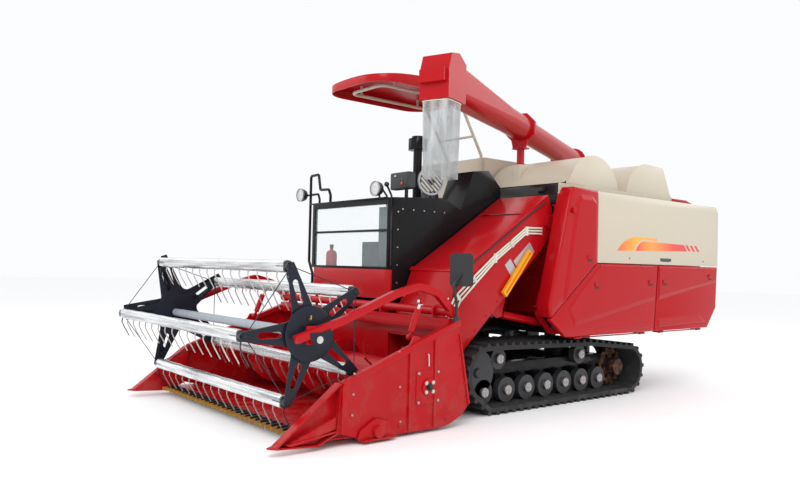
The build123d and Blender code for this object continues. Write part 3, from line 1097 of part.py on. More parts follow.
def radiator_screen():
    """The hinged screen over the radiator's opening: a rimmed frame with upright bars."""
    y0, y1, z0, z1 = SCREEN
    x = CAB_RIGHT - 6
    frame = block(x - 26, x, y0 - 24, y1 + 24, z0 - 24, z1 + 24)
    frame -= block(x - 30, x + 1, y0 + 16, y1 - 16, z0 + 16, z1 - 16)
    bars = range(int(y0) + 40, int(y1) - 20, 40)
    frame += fused([block(x - 20, x - 14, y, y + 8, z0 + 10, z1 - 10) for y in bars])
    frame += block(x - 22, x - 12, y0 + 10, y1 - 10, (z0 + z1) / 2 - 10, (z0 + z1) / 2 + 10)
    hx, hy = SCREEN_HINGE
    for z in (z0 + 40, z1 - 120):
        tube = rod((hx, hy, z), (hx, hy, z + 80), KNUCKLE_R) + block(hx - 12, hx, hy, y0 - 20, z, z + 80)
        frame += tube
    return frame - rod((hx, hy, z0 - 30), (hx, hy, z1 + 30), HINGE_R + PIN_FIT)


def engine_block():
    """The engine's mass, a plain block on the chassis."""
    return block(-790, -190, -420, 260, DECK_Z, 1290)


def operator_seat():
    """The seat on the engine's hood: cushion, back and base."""
    x0, x1 = -710, -265
    cushion = fillet(block(x0, x1, -460, -30, HOOD_TOP + 70, HOOD_TOP + 150).edges(), 30)
    back = fillet(block(x0 + 15, x1 - 15, -80, 15, HOOD_TOP + 100, HOOD_TOP + 560).edges(), 30)
    return cushion + back + block(x0 + 90, x1 - 90, -350, -60, HOOD_TOP, HOOD_TOP + 75)


def control_console():
    """The console on the operator's left with its sloping top and two levers."""
    side = [(-1080, FLOOR_Z), (-500, FLOOR_Z), (-500, 1600), (-620, 1720), (-1080, 1690)]
    shape = prism_x(side, 100, 350)
    for x, lean in ((150, -40), (215, -10)):
        shape += bent_tube([(x, -1030, 1680), (x, -1038, 1790), (x + lean, -1084, 1880)], 9, 30)
        shape += Pos(x + lean, -1086, 1884) * Sphere(22)
    return shape


def instrument_box():
    """The monitor on its stalk."""
    box = fillet(block(90, 345, -960, -880, 1850, 2000).edges(), 14)
    return box + rod((250, -900, 1703.2), (250, -900, 1860), 16)


def fan_guard():
    """The round grey guard of the operator's fan: a rim with bars across."""
    place = Plane(origin=(335, -700, 1935), x_dir=(0.3, 0.95, 0), z_dir=(0.95, -0.3, 0))
    ring = Circle(125) - Circle(110) + Circle(34)
    for i in range(-3, 4):
        ring += Rot(0, 0, 45) * Pos(30 * i, 0) * Rectangle(8, 2 * sqrt(118 ** 2 - (30 * i) ** 2))
    return extrude(place * ring, amount=20) + rod((336, -703, 1716), (342, -703, 1820), 12)


def handrails():
    """The bent black tubes at the front right corner of the platform."""
    y = CAB_FRONT - 25
    outer = bent_tube([(-840, y, 950), (-840, y, 1090), (-905, y, 1210), (-905, y, 2035), (-770, y, 2040),
                       (-735, y, 1890), (-590, y, 1885), (-560, y, 1830), (-560, y, 1757.3)], 13, 25)
    inner = bent_tube([(-905, y, 1850), (-770, y, 1852), (-745, y, 1800), (-745, y, 1757.3)], 11, 20)
    return outer + inner + block(-860, -820, y - 5, CAB_FRONT, 940, 980)


def work_lamps():
    """Two round lamps with their brackets, one on the rail and one on the windshield's top."""
    y = CAB_FRONT - 90
    shell = Polyline((0, 0), (62, 0), (62, 18), (48, 52), (22, 66), (0, 66), close=True)
    lamp = revolve(make_face(shell), axis=Axis.Y)
    on_rail = Pos(-985, y, 1850) * lamp + rod((-985, CAB_FRONT - 32, 1850),
                                              (-918.3, CAB_FRONT - 25, 1850), 9)
    on_cap = Pos(215, y, 1835) * lamp + rod((215, CAB_FRONT - 45, 1757.3), (215, CAB_FRONT - 45, 1800), 9)
    return [on_rail, on_cap]


def duct_cover():
    """The tall black cover between the operator and the feeder."""
    outline = [(-355, 1700), (-205, 2070), (-5, 2095), (160, 1950), (160, 1700)]
    return prism_x(outline, 60, CAB_LEFT)


def air_intake():
    """The upright air intake pipe with its bowl."""
    x, y = -200, -395
    shape = rod((x, y, HOOD_TOP), (x, y, 2310), 42)
    return shape + rod((x, y, 2300), (x, y, 2410), 92) + rod((x, y, 2410), (x, y, 2435), 60)


def crown(drop):
    """Radius and centre height of the sphere that lies by drop under the sunshade's outer surface."""
    half = hypot(CANOPY[2], CANOPY[3]) / 2
    radius = (half ** 2 + CANOPY_CROWN ** 2) / (2 * CANOPY_CROWN)
    return radius - drop, CANOPY_Z + CANOPY_CROWN - radius


def canopy():
    """The sunshade: a crowned sheet with a turned-down rim and large round corners."""
    x, y, w, d = CANOPY
    shells = []
    for drop, foot in ((0, CANOPY_Z - 45), (CANOPY_SHEET, CANOPY_Z - 46)):
        radius, height = crown(drop)
        plan = Plane(origin=(x, y, foot)) * RectangleRounded(w - 2 * drop, d - 2 * drop, 240 - drop)
        shells.append(extrude(plan, amount=300) & (Pos(x, y, height) * Sphere(radius)))
    return shells[0] - shells[1]


def canopy_frame():
    """The tube loop under the sunshade, its pads, and the two struts down to the tank's front wall."""
    x, y, w, d = CANOPY
    z = CANOPY_Z - 34
    hx, y0, y1 = w / 2 - 200, y - d / 2 + 190, y + d / 2 - 60
    shape = bent_tube([(x - hx, y1, z), (x - hx, y0, z), (x + hx, y0, z), (x + hx, y1, z)], 15, 90)
    shape += rod((x - hx, y1 - 10, z), (x + hx, y1 - 10, z), 15)
    radius, height = crown(CANOPY_SHEET)
    for side in (-1, 1):
        sx = x + side * hx
        for py in (y0 + 130, y1 - 130):
            away = hypot(hx, py - y) + 14
            shape += rod((sx, py, z), (sx, py, height + sqrt(radius ** 2 - away ** 2) - 0.3), 12)
        shape += bent_tube([(sx, y1 - 12, z), (sx, y1 + 20, z - 40), (sx, TANK_FRONT - 24, 2320),
                            (sx, TANK_FRONT - 16, 2060)], 15, 40)
        shape += block(sx - 30, sx + 30, TANK_FRONT - 12, TANK_FRONT, 2040, 2140)
        shape += block(sx - 13, sx + 13, TANK_FRONT - 24, TANK_FRONT - 8, 2060, 2110)
    cross_z = 2500
    share = (z - 40 - cross_z) / (z - 40 - 2320)
    cross_y = y1 + 20 + (TANK_FRONT - 44 - y1) * share
    return shape + rod((x - hx, cross_y, cross_z), (x + hx, cross_y, cross_z), 12)


# ================================================================ all sub-parts
def all_nodes():
    """The whole machine: every sub-part by its name."""
    (left, _), (right, _) = track_sides()
    lift_barrel, lift_rod = lift_parts()
    reel_barrels, reel_rods = reel_lift_parts()
    unload_barrel, unload_rod = unload_cylinder()
    nodes = {
        "track_left": track_loop(left), "track_right": track_loop(right),
        "track_rollers": track_rollers(),
        "drive_sprockets": [drive_sprocket(x, sign) for x, sign in track_sides()],
        "chassis_frame": chassis_frame() + track_beam(left) + track_beam(right),
        "thresher_body": thresher_body(), "thresher_covers": thresher_covers() + [inlet_panel()],
        "straw_hood": straw_hood(), "cover_frame": cover_frame(),
        "front_side_cover": front_side_cover(), "lower_side_cover": lower_side_cover(),
        "rear_side_cover": rear_side_cover(), "upper_side_cover": upper_side_cover(),
        "header_sides": header_sides() + [knife_drive()], "header_trough": header_trough(),
        "header_frame": header_frame(), "crop_dividers": crop_dividers(), "cutter_bar": cutter_bar(),
        "header_auger": header_auger(), "feeder_house": [feeder_house(), hydraulic_pipes()],
        "safety_stop": safety_stop(), "header_mirror": header_mirror(),
        "lift_cylinder_barrel": lift_barrel, "lift_cylinder_rod": lift_rod,
        "reel_arms": reel_arms(), "reel_rotor": reel_rotor(), "eccentric_spider": eccentric_spider(),
        "reel_cylinder_barrels": reel_barrels, "reel_cylinder_rods": reel_rods,
        "grain_tank": grain_tank(), "tank_lid": tank_lid(), "fuel_tank": fuel_tank(),
        "unloader_column": unloader_column(), "unloader_turret": unloader_turret(),
        "unloader_tube": unloader_tube(), "spout_sleeve": spout_sleeve(), "rest_post": rest_post(),
        "unloader_cylinder_barrel": unload_barrel, "unloader_cylinder_rod": unload_rod,
        "engine_hood": engine_hood() + [air_intake()], "engine_block": engine_block(),
        "radiator_screen": radiator_screen(), "operator_platform": [operator_platform(), duct_cover()],
        "nose_panel": nose_panel(), "windshield_frame": [windshield_frame(), handrails()],
        "windshield_glass": windshield_glass(), "operator_seat": operator_seat(),
        "control_console": [control_console(), instrument_box(), fan_guard()], "work_lamps": work_lamps(),
        "canopy": canopy(), "canopy_frame": canopy_frame()}
    for number, (y, z) in enumerate(bar_centres(), 1):
        nodes[f"tine_bar_{number}"] = tine_bar(y, z)
    return nodes


os.makedirs("parts", exist_ok=True)
for node_name, node_shape in all_nodes().items():
    pieces = node_shape if isinstance(node_shape, list) else [node_shape]
    solids = [Pos(0, MIDDLE_Y, 0) * solid for piece in pieces for solid in piece.solids()]
    export_step(Compound(solids) if len(solids) > 1 else solids[0], f"parts/{node_name}.step")
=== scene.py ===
"""Finishes, small fittings and stage of a tracked rice combine harvester, as an add-on."""
import json

import bmesh
import bpy
import numpy as np
from bpy.props import FloatProperty, FloatVectorProperty, IntProperty, PointerProperty
from mathutils import Matrix, Vector


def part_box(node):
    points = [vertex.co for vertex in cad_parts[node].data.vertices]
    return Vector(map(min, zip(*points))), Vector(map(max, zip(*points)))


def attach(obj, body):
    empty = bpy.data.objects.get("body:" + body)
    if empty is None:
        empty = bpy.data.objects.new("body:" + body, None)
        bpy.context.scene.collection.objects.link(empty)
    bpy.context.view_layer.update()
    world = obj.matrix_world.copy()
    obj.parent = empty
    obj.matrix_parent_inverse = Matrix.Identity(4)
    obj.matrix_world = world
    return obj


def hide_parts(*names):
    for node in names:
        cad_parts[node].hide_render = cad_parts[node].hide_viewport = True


bl_info = {"name": "Rice Harvester Looks", "version": (1, 0, 0), "blender": (4, 5, 0),
           "location": "View3D > Sidebar > Harvester",
           "description": "Finishes and small fittings of a rice harvester", "category": "Object"}

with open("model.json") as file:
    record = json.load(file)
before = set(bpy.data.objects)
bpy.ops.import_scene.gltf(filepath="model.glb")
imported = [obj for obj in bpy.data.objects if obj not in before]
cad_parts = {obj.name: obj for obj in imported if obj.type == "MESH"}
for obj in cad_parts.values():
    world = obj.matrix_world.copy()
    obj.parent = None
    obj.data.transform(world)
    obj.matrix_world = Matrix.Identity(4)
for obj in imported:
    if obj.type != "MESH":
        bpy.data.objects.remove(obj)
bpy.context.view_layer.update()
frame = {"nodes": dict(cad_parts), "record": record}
SLOT_OF = {part["node"]: part["material_slot"] for part in frame["record"]["subparts"]}

# Places are in drawing millimetres: x to the machine's left, y to its back, z up.
BACK = 84.0                            # the drawing's y zero lies this far behind the origin
COVER_SIDE = 1200.0                    # outer face of the side covers
PROUD, SILL_PROUD = 11.0, 7.0          # how far their pressed fields stand out
HEADER_SIDE = 1250.0                   # outer face of the header's left side
GUARD_SIDE = 375.0                     # outer face of the operator's guard
FEEDER_SIDE = 990.0                    # outer face of the feeder's left side
HUB = np.array((-2405.0, 730.0))       # the reel's shaft, (y, z)
BAT_CIRCLE, BAT_HALF = 458.0, 1046.0   # the bats' circle and half their length
BAT_FACE = 29.8                        # just inside a bat's own radius
AUGER = np.array((-1493.0, 328.0))     # the cross auger's shaft, (y, z)
TURRET = np.array((-250.0, 2160.0, 2452.0))
PARKED = np.array((590.0, -1685.0, 0.0))   # from the turret towards the parked outlet
TUBE_TILT = np.radians(3.5)
LEFT, UP, FORWARD = (1, 0, 0), (0, 0, 1), (0, -1, 0)


def metres(points):
    """Drawing millimetres to frame metres, as an array."""
    return (np.asarray(points, float) + (0.0, BACK, 0.0)) / 1000.0


# ---------------- shader maths
class Value:
    """A shader socket that adds Math nodes when it is used in an expression."""

    def __init__(self, tree, socket):
        self.tree, self.socket = tree, socket

    def math(self, operation, *terms):
        return self.tree.node("ShaderNodeMath", {"operation": operation}, *terms)

    def __add__(self, other): return self.math("ADD", self, other)
    def __sub__(self, other): return self.math("SUBTRACT", self, other)
    def __rsub__(self, other): return self.math("SUBTRACT", other, self)
    def __mul__(self, other): return self.math("MULTIPLY", self, other)
    def __abs__(self): return self.math("ABSOLUTE", self)
    __radd__, __rmul__ = __add__, __mul__

    def clipped(self, low, high):
        """0 below low, 1 above high and a smooth ramp between."""
        return self.tree.node("ShaderNodeMapRange", {"interpolation_type": "SMOOTHSTEP"},
                              self, low, high, 0.0, 1.0)

    def over(self, edge):
        """1 where the value is over the edge, ramped over a millimetre."""
        return self.clipped(edge - 0.0005, edge + 0.0005)


class Finish:
    """One material: makes its nodes, reads Object coordinates and feeds one Principled shader."""

    def __init__(self, name):
        self.material = bpy.data.materials.new(name)
        self.material.use_nodes = True
        tree = self.material.node_tree
        self.nodes, self.links = tree.nodes, tree.links
        self.shader = self.nodes["Principled BSDF"]
        self._place = None

    def node(self, kind, settings, *values, output=0):
        """One output of a node: its settings are set first, then its live inputs in order."""
        made = self.nodes.new(kind)
        for key, value in settings.items():
            setattr(made, key, value)
        live = [s for s in made.inputs if s.enabled or kind == "ShaderNodeMapRange"]
        for socket, value in zip(live, values):
            self.feed(socket, value)
        return Value(self, made.outputs[output])

    def feed(self, socket, value):
        """Links a value to a socket or sets it there; a colour gets its fourth number here."""
        if isinstance(value, Value):
            self.links.new(value.socket, socket)
        else:
            socket.default_value = (*value, 1.0) if socket.type == "RGBA" else value

    @property
    def place(self):
        """The point on the piece, in its own coordinates."""
        if self._place is None:
            self._place = self.node("ShaderNodeTexCoord", {}, output="Object")
        return self._place

    def axis(self, name):
        return self.node("ShaderNodeSeparateXYZ", {}, self.place, output=name)

    def noise(self, scale, detail=4.0, rough=0.55, stretch=None):
        point = self.place
        if stretch is not None:
            point = self.node("ShaderNodeVectorMath", {"operation": "MULTIPLY"}, point, stretch)
        return self.node("ShaderNodeTexNoise", {}, point, scale, detail, rough)

    def mixed(self, factor, first, second):
        return self.node("ShaderNodeMix", {"data_type": "RGBA"}, factor, first, second, output=2)

    def ramp(self, value, *stops):
        """A colour ramp: (place, colour) stops, straight between them."""
        made = self.nodes.new("ShaderNodeValToRGB")
        line = made.color_ramp.elements
        for end, (place, colour) in ((line[0], stops[0]), (line[1], stops[-1])):
            end.position, end.color = place, (*colour, 1.0)
        for place, colour in stops[1:-1]:
            line.new(place).color = (*colour, 1.0)
        self.feed(made.inputs[0], value)
        return Value(self, made.outputs[0])

    def bump(self, height, strength, distance):
        made = self.nodes.new("ShaderNodeBump")
        for name, value in (("Height", height), ("Strength", strength), ("Distance", distance)):
            self.feed(made.inputs[name], value)
        self.links.new(made.outputs[0], self.shader.inputs["Normal"])

    def set(self, **values):
        for key, value in values.items():
            self.feed(self.shader.inputs[key.replace("_", " ")], value)
        return self


# ---------------- finishes
DUST, PALE_DUST, SOOT = (0.30, 0.12, 0.09), (0.48, 0.40, 0.29), (0.08, 0.08, 0.08)
SPIDER_BLUE, BAR_BLACK = (0.014, 0.017, 0.027), (0.012, 0.012, 0.014)


def paint(name, colour, dust_colour, gloss, coat, other=None, where=None):
    """Sprayed enamel: a fine orange peel in the bump, and a little field dust low on the machine.

    Where the mask where(finish) is 1, the other colour takes the first one's place.
    """
    m = Finish(name)
    low = 1.0 - m.axis("Z").clipped(0.0, 0.75)
    dust = low * m.noise(7.0).clipped(0.42, 0.75) * 0.25
    if where:
        colour = m.mixed(where(m), colour, other)
    m.set(Base_Color=m.mixed(dust, colour, dust_colour),
          Roughness=gloss + 0.10 * m.noise(3.0) + dust * 0.5,
          Coat_Weight=coat, Coat_Roughness=0.04, Specular_IOR_Level=0.16)
    m.bump(m.noise(160.0, 2.0), 0.05, 0.0006)
    return m.material


def stripe(name, start, end, *stops):
    """Printed stripe: its colour runs along Y from start to end."""
    m = Finish(name)
    along = m.node("ShaderNodeMapRange", {}, m.axis("Y"), start, end, 0.0, 1.0)
    return m.set(Base_Color=m.ramp(along, *stops), Roughness=0.28, Coat_Weight=0.3).material


def vinyl(name):
    """Seat vinyl: pebbled leather grain of small cells, a little shinier on the crowns."""
    m = Finish(name)
    cells = m.node("ShaderNodeTexVoronoi", {"feature": "DISTANCE_TO_EDGE"}, m.place, 420.0)
    m.set(Base_Color=m.mixed(m.noise(8.0), (0.014, 0.014, 0.016), (0.028, 0.028, 0.031)),
          Roughness=0.5 - 0.12 * cells)
    m.bump(cells.clipped(0.0, 0.16), 0.35, 0.0008)
    return m.material


def film(name):
    """Clear sheet plastic: thin where flat, milkier in long creases and in faint blotches."""
    m = Finish(name)
    crease = m.noise(13.0, 5.0, 0.6, stretch=(1.0, 1.0, 0.10)).clipped(0.40, 0.66)
    blotch = m.noise(9.0, 3.0).clipped(0.4, 0.8)
    m.set(Base_Color=m.mixed(crease, (0.34, 0.36, 0.36), (0.66, 0.68, 0.69)), Roughness=0.10,
          Alpha=0.26 + 0.20 * crease + 0.14 * blotch, IOR=1.45)
    m.bump(m.noise(24.0, 3.0, 0.6, stretch=(1.0, 1.0, 0.15)), 0.6, 0.006)
    m.material.surface_render_method = "DITHERED"
    return m.material


def zinc(name):
    """Bright zinc plate: long soft streaks along X with creases."""
    m = Finish(name)
    streaks = m.noise(9.0, 5.0, 0.6, stretch=(0.35, 4.0, 4.0))
    bright, dull = (0.86, 0.87, 0.88), (0.52, 0.53, 0.55)
    m.set(Base_Color=m.mixed(streaks.clipped(0.35, 0.7), bright, dull), Metallic=0.85,
          Roughness=0.16 + 0.26 * streaks)
    m.bump(m.noise(26.0, 3.0, 0.6, stretch=(0.5, 2.0, 2.0)), 0.35, 0.004)
    return m.material


def guard_iron(name):
    """Knife guards: dark iron at the root and brassy wear from the shoulder to the tip."""
    m = Finish(name)
    root = m.axis("Y").over(-2.345)
    m.set(Base_Color=m.mixed(root, (0.62, 0.34, 0.07), (0.020, 0.018, 0.018)),
          Metallic=0.75 - 0.55 * root, Roughness=0.34 + 0.3 * m.noise(60.0))
    return m.material


def bar_zinc(name):
    """Zinc tine bars; the outermost tines and the ends are black."""
    m = Finish(name)
    outer = abs(m.axis("X")).over(0.95)
    m.set(Base_Color=m.mixed(outer, (0.62, 0.60, 0.55), BAR_BLACK), Metallic=0.8 - 0.7 * outer,
          Roughness=0.3)
    return m.material


def wrap_film(name):
    """Bright sheet round the bats: long silvery streaks along X and dull bands at its laps."""
    m = Finish(name)
    streak = m.noise(13.0, 5.0, 0.6, stretch=(0.12, 3.0, 3.0))
    lap = m.noise(3.0, 2.0, 0.5, stretch=(2.4, 0.2, 0.2)).clipped(0.55, 0.60)
    m.set(Base_Color=m.mixed(streak.clipped(0.40, 0.68), (0.80, 0.81, 0.82), (0.34, 0.35, 0.37)),
          Metallic=0.8, Roughness=0.15 + 0.16 * streak + 0.10 * lap)
    m.bump(streak + 0.2 * lap, 0.4, 0.004)
    return m.material


def worn_iron(name, colour, rust, share):
    """Cast iron with patches of rust: noise above a threshold turns brown and rough."""
    m = Finish(name)
    patch = m.noise(22.0, 6.0, 0.65).clipped(1.0 - share - 0.12, 1.0 - share + 0.12)
    m.set(Base_Color=m.mixed(patch, colour, rust), Metallic=0.7 - 0.6 * patch,
          Roughness=0.45 + 0.4 * patch)
    m.bump(m.noise(90.0, 4.0), 0.3, 0.0015)
    return m.material


def rubber(name):
    """Dusty black rubber: paler in patches near the ground."""
    m = Finish(name)
    dust = (1.0 - m.axis("Z").clipped(0.0, 0.35)) * m.noise(14.0).clipped(0.45, 0.7)
    m.set(Base_Color=m.mixed(dust * 0.5, (0.016, 0.016, 0.017), (0.09, 0.08, 0.07)),
          Roughness=0.72 + 0.1 * m.noise(30.0))
    m.bump(m.noise(220.0, 3.0), 0.25, 0.001)
    return m.material


def plain(name, colour, rough, metal=0.0, coat=0.0):
    """One colour with a faint mottle in its shade and gloss, and a fine skin."""
    m = Finish(name)
    mottle = m.noise(38.0, 3.0)
    dark, light = [tuple(min(share * c, 1.0) for c in colour) for share in (0.86, 1.14)]
    m.set(Base_Color=m.mixed(mottle, dark, light), Roughness=0.85 * rough + 0.3 * rough * mottle,
          Metallic=metal, Coat_Weight=coat)
    m.bump(m.noise(210.0, 2.0), 0.08, 0.0004)
    return m.material


def even(name, colour, rough, metal=0.0):
    """One even colour: silvered glass, and the floor."""
    return Finish(name).set(Base_Color=colour, Roughness=rough, Metallic=metal).material


def clear(name, colour, rough, alpha):
    """Glass: one colour, mostly see-through."""
    m = Finish(name).set(Base_Color=colour, Roughness=rough, Alpha=alpha, IOR=1.45)
    m.material.surface_render_method = "DITHERED"
    return m.material


def finishes(look):
    """Every record slot's material, and the extra ones for small fittings."""
    red, cream = tuple(look.red), tuple(look.cream)
    gold_stops = ((0.0, (0.83, 0.10, 0.03)), (0.25, (0.90, 0.28, 0.02)),
                  (0.45, (0.95, 0.42, 0.03)), (1.0, (0.92, 0.36, 0.04)))
    flame_stops = ((0.0, (0.74, 0.03, 0.03)), (0.16, (0.86, 0.24, 0.03)),
                   (0.3, (0.88, 0.32, 0.04)), (0.7, (0.78, 0.06, 0.03)), (1.0, (0.72, 0.03, 0.03)))
    rows = {
        "red_paint": (paint, red, DUST, 0.20, 0.09),
        "cream_paint": (paint, cream, PALE_DUST, 0.26, 0.12),
        # the oil pipes on the feeder's left side are pale zinc
        "feeder_paint": (paint, red, DUST, 0.20, 0.09, (0.72, 0.68, 0.58),
                         lambda m: m.axis("X").over(0.993) * (1.0 - m.axis("Y").over(0.15))),
        "body_paint": (paint, red, DUST, 0.22, 0.09, cream, lambda m: m.axis("Z").over(1.82)),
        "post_paint": (paint, cream, DUST, 0.24, 0.12, red, lambda m: m.axis("Z").over(2.2)),
        "hump_paint": (paint, (0.010, 0.010, 0.012), PALE_DUST, 0.26, 0.12, cream,
                       lambda m: m.axis("Y").over(0.42)),
        "frame_paint": (paint, red, DUST, 0.24, 0.09, cream, lambda m: m.axis("Z").over(1.86)),
        "guard_iron": (guard_iron,),
        "bar_zinc": (bar_zinc,),
        "rotor_paint": (paint, (0.34, 0.38, 0.42), SOOT, 0.22, 0.10, SPIDER_BLUE,
                        lambda m: abs(m.axis("X")).over(1.07)),
        "wrap_film": (wrap_film,),
        "brass": (plain, (0.55, 0.33, 0.10), 0.35, 0.8),
        "black_paint": (paint, (0.006, 0.006, 0.007), (0.08, 0.07, 0.06), 0.22, 0.10),
        "reel_blue": (paint, SPIDER_BLUE, SOOT, 0.28, 0.10),
        "galvanised": (zinc,),
        "steel": (plain, (0.62, 0.62, 0.63), 0.18, 1.0),
        "track_rubber": (rubber,),
        "roller_grey": (plain, (0.030, 0.030, 0.033), 0.5),
        "sprocket_iron": (worn_iron, (0.05, 0.045, 0.04), (0.24, 0.085, 0.028), 0.45),
        "glass": (clear, (0.70, 0.84, 0.86), 0.03, 0.12),
        "clear_sleeve": (film,),
        "stop_yellow": (paint, (0.86, 0.36, 0.015), (0.4, 0.25, 0.08), 0.25, 0.15),
        "seat_vinyl": (vinyl,),
        "black_plastic": (plain, (0.014, 0.014, 0.016), 0.38),
        "fuel_grey": (plain, (0.05, 0.05, 0.055), 0.5),
        "engine_iron": (worn_iron, (0.10, 0.105, 0.11), (0.16, 0.08, 0.04), 0.25),
        # painted shade: the red paint darkened, laid flat where the recess under each latch grip
        # lies
        "latch_dark": (plain, (0.06, 0.002, 0.003), 0.5),
        "lamp_green": (plain, (0.03, 0.30, 0.08), 0.3),
        "cap_grey": (plain, (0.36, 0.33, 0.33), 0.45, 0.2),
        "bolt_zinc": (plain, (0.66, 0.64, 0.58), 0.30, 0.9),
        "plate_silver": (plain, (0.50, 0.51, 0.54), 0.35, 0.6),
        "stripe_gold": (stripe, 0.95, 1.62, *gold_stops),
        "stripe_flame": (stripe, 1.25, 2.18, *flame_stops),
        "stripe_red": (plain, (0.70, 0.03, 0.03), 0.28, 0.0, 0.3),
        "hem_cream": (plain, (0.78, 0.72, 0.55), 0.5),
        "lamp_lens": (clear, (0.95, 0.96, 0.97), 0.05, 0.45),
        "reflector": (even, (0.50, 0.52, 0.54), 0.22, 1.0),
        "mirror_glass": (even, (0.85, 0.87, 0.88), 0.03, 1.0),
        "glass_dark": (plain, (0.006, 0.007, 0.009), 0.06, 0.0, 0.6),
        "fan_grey": (plain, (0.42, 0.46, 0.50), 0.35),
    }
    return {name: make(name, *values) for name, (make, *values) in rows.items()}


MADE = {}
# the record slot of a finish that isn't a slot itself; any other is black_plastic
SLOT_FOR = {"bolt_zinc": "steel", "cap_grey": "steel", "plate_silver": "steel", "brass": "steel",
            "reflector": "steel", "mirror_glass": "glass", "lamp_lens": "glass"}


# ---------------- surfaces
def piece(name, shape, material, body, slot=None, local=False):
    """A mesh that rides on a body, from (vertices, faces) in drawing millimetres.

    Local vertices are about the piece's own centre instead.
    """
    vertices, faces = shape
    points = vertices / 1000.0 if local else metres(vertices)
    mesh = bpy.data.meshes.new(name)
    mesh.from_pydata(points.tolist(), [], faces)
    mesh.validate()
    mesh.materials.append(MADE[material])
    thing = bpy.data.objects.new(name, mesh)
    bpy.context.collection.objects.link(thing)
    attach(thing, body)
    slot = slot or SLOT_FOR.get(material)
    slot or (material if material in SLOT_OF.values() else "black_plastic")
    return thing


def rounded(*values, **settings):
    """A piece shaded smooth, with creases where faces meet at more than 0.6 radians."""
    thing = piece(*values, **settings)
    thing.data.shade_smooth()
    thing.data.set_sharp_from_angle(angle=0.6)
    return thing


def grid_faces(rows, columns):
    """Quads of a rows x columns grid of points, joined round along the columns."""
    a, b = np.meshgrid(np.arange(rows - 1) * columns, np.arange(columns), indexing="ij")
    right = (b + 1) % columns
    quads = np.stack((a + b, a + columns + b, a + columns + right, a + right), -1)
    return quads.reshape(-1, 4).tolist()


def end_faces(rows, columns):
    """The first and last row of such a grid as two faces that look away from each other."""
    return [list(range(columns))[::-1], list(range((rows - 1) * columns, rows * columns))]


def turned_over(faces):
    """The same faces, pointing the other way."""
    return [face[::-1] for face in faces]


def merged(parts):
    """One (vertices, faces) out of several."""
    vertices, faces, count = [], [], 0
    for v, f in parts:
        vertices.append(v)
        faces.extend([(np.asarray(face) + count).tolist() for face in f])
        count += len(v)
    return np.concatenate(vertices), faces


def circle(sides):
    """Evenly spaced angles round a full turn."""
    return np.linspace(0, 2 * np.pi, sides, endpoint=False)


def across(axis):
    """A unit vector along the axis, and two more across it."""
    n = np.asarray(axis, float) / np.linalg.norm(axis)
    u = np.cross(n, (0.0, 0.0, 1.0) if abs(n[2]) < 0.9 else (1.0, 0.0, 0.0))
    u /= np.linalg.norm(u)
    return n, u, np.cross(n, u)


def walled(low, high):
    """A closed body between two rings of as many corners."""
    walls = turned_over(grid_faces(2, len(low)))
    return np.concatenate([low, high]), walls + end_faces(2, len(low))


def prism(centres, normal, radius, height, sides=6):
    """Closed prisms: corner k lies at angle 2 pi k / sides round the normal, at two heights."""
    n, u, v = across(normal)
    angle = circle(sides)[:, None]
    ring = radius * (np.cos(angle) * u + np.sin(angle) * v)
    sunk = 0.6
    return merged([walled(centre + ring - sunk * n, centre + ring + height * n)
                   for centre in np.atleast_2d(centres)])


def plate(outline, x, thick):
    """A flat plate across x: the (y, z) outline at x and at x + thick, with its side walls."""
    points = np.asarray(outline, float)
    low, high = [np.column_stack([np.full(len(points), level), points]) for level in (x, x + thick)]
    return walled(low, high)


def tube(path, radius, sides=10):
    """A round tube: the path's point plus radius times a circle in the plane across the path.

    Its walls' faces look inwards and its end faces outwards.
    """
    p = np.asarray(path, float)
    t = np.gradient(p, axis=0)
    t /= np.linalg.norm(t, axis=1)[:, None]
    up = np.where(np.abs(t[:, 2:]) < 0.9, (0.0, 0.0, 1.0), (1.0, 0.0, 0.0))
    u = np.cross(t, up)
    u /= np.linalg.norm(u, axis=1)[:, None]
    v = np.cross(t, u)
    a = circle(sides)[None, :, None]
    ring = p[:, None] + radius * (np.cos(a) * u[:, None] + np.sin(a) * v[:, None])
    return ring.reshape(-1, 3), grid_faces(len(p), sides) + end_faces(len(p), sides)


def turned(profile, centre, axis, sides=32):
    """A body of revolution: each (radius, height) of the profile swept round the axis.

    The profiles stop 0.1 mm short of the axis, so a pole has a pinhole of that radius.
    """
    n, u, v = across(axis)
    r, h = np.asarray(profile, float).T[:, :, None, None]
    a = circle(sides)[None, :, None]
    ring = np.asarray(centre, float) + r * (np.cos(a) * u + np.sin(a) * v) + h * n
    return ring.reshape(-1, 3), turned_over(grid_faces(len(profile), sides))


def pressed(outline, insets, height, x=COVER_SIDE):
    """A pressed panel: the outline on the sheet, and inside it the raised top.

    Side k runs from corner k to corner k + 1 and moves in by its own inset. A corner of the top
    lies where its two moved sides meet, height above the sheet.
    """
    p = np.asarray(outline, float)
    count, inset = len(p), np.asarray(insets, float)[:, None]
    ahead = np.roll(p, -1, axis=0)
    way = (ahead - p) / np.linalg.norm(ahead - p, axis=1)[:, None]
    before, inset_before = np.roll(way, 1, axis=0), np.roll(inset, 1, axis=0)
    turn = np.sign((p[:, 0] * ahead[:, 1] - p[:, 1] * ahead[:, 0]).sum())
    slant = turn * (before[:, :1] * way[:, 1:] - before[:, 1:] * way[:, :1])
    inner = p + (inset_before * way - inset * before) / slant
    rings = [np.column_stack([np.full(count, level), ring])
             for level, ring in ((x - 0.5, p), (x + 0.2, p), (x + height, inner))]
    walls, ends = grid_faces(3, count), end_faces(3, count)
    faces = turned_over(walls) + ends if turn > 0 else walls + turned_over(ends)
    return np.concatenate(rings), faces


def rectangle(y0, z0, y1, z1):
    """The (y, z) corners of an upright rectangle."""
    return [(y0, z0), (y1, z0), (y1, z1), (y0, z1)]


def powered(value, power):
    """The value's size raised to a power, with its sign kept."""
    return np.sign(value) * np.abs(value) ** power


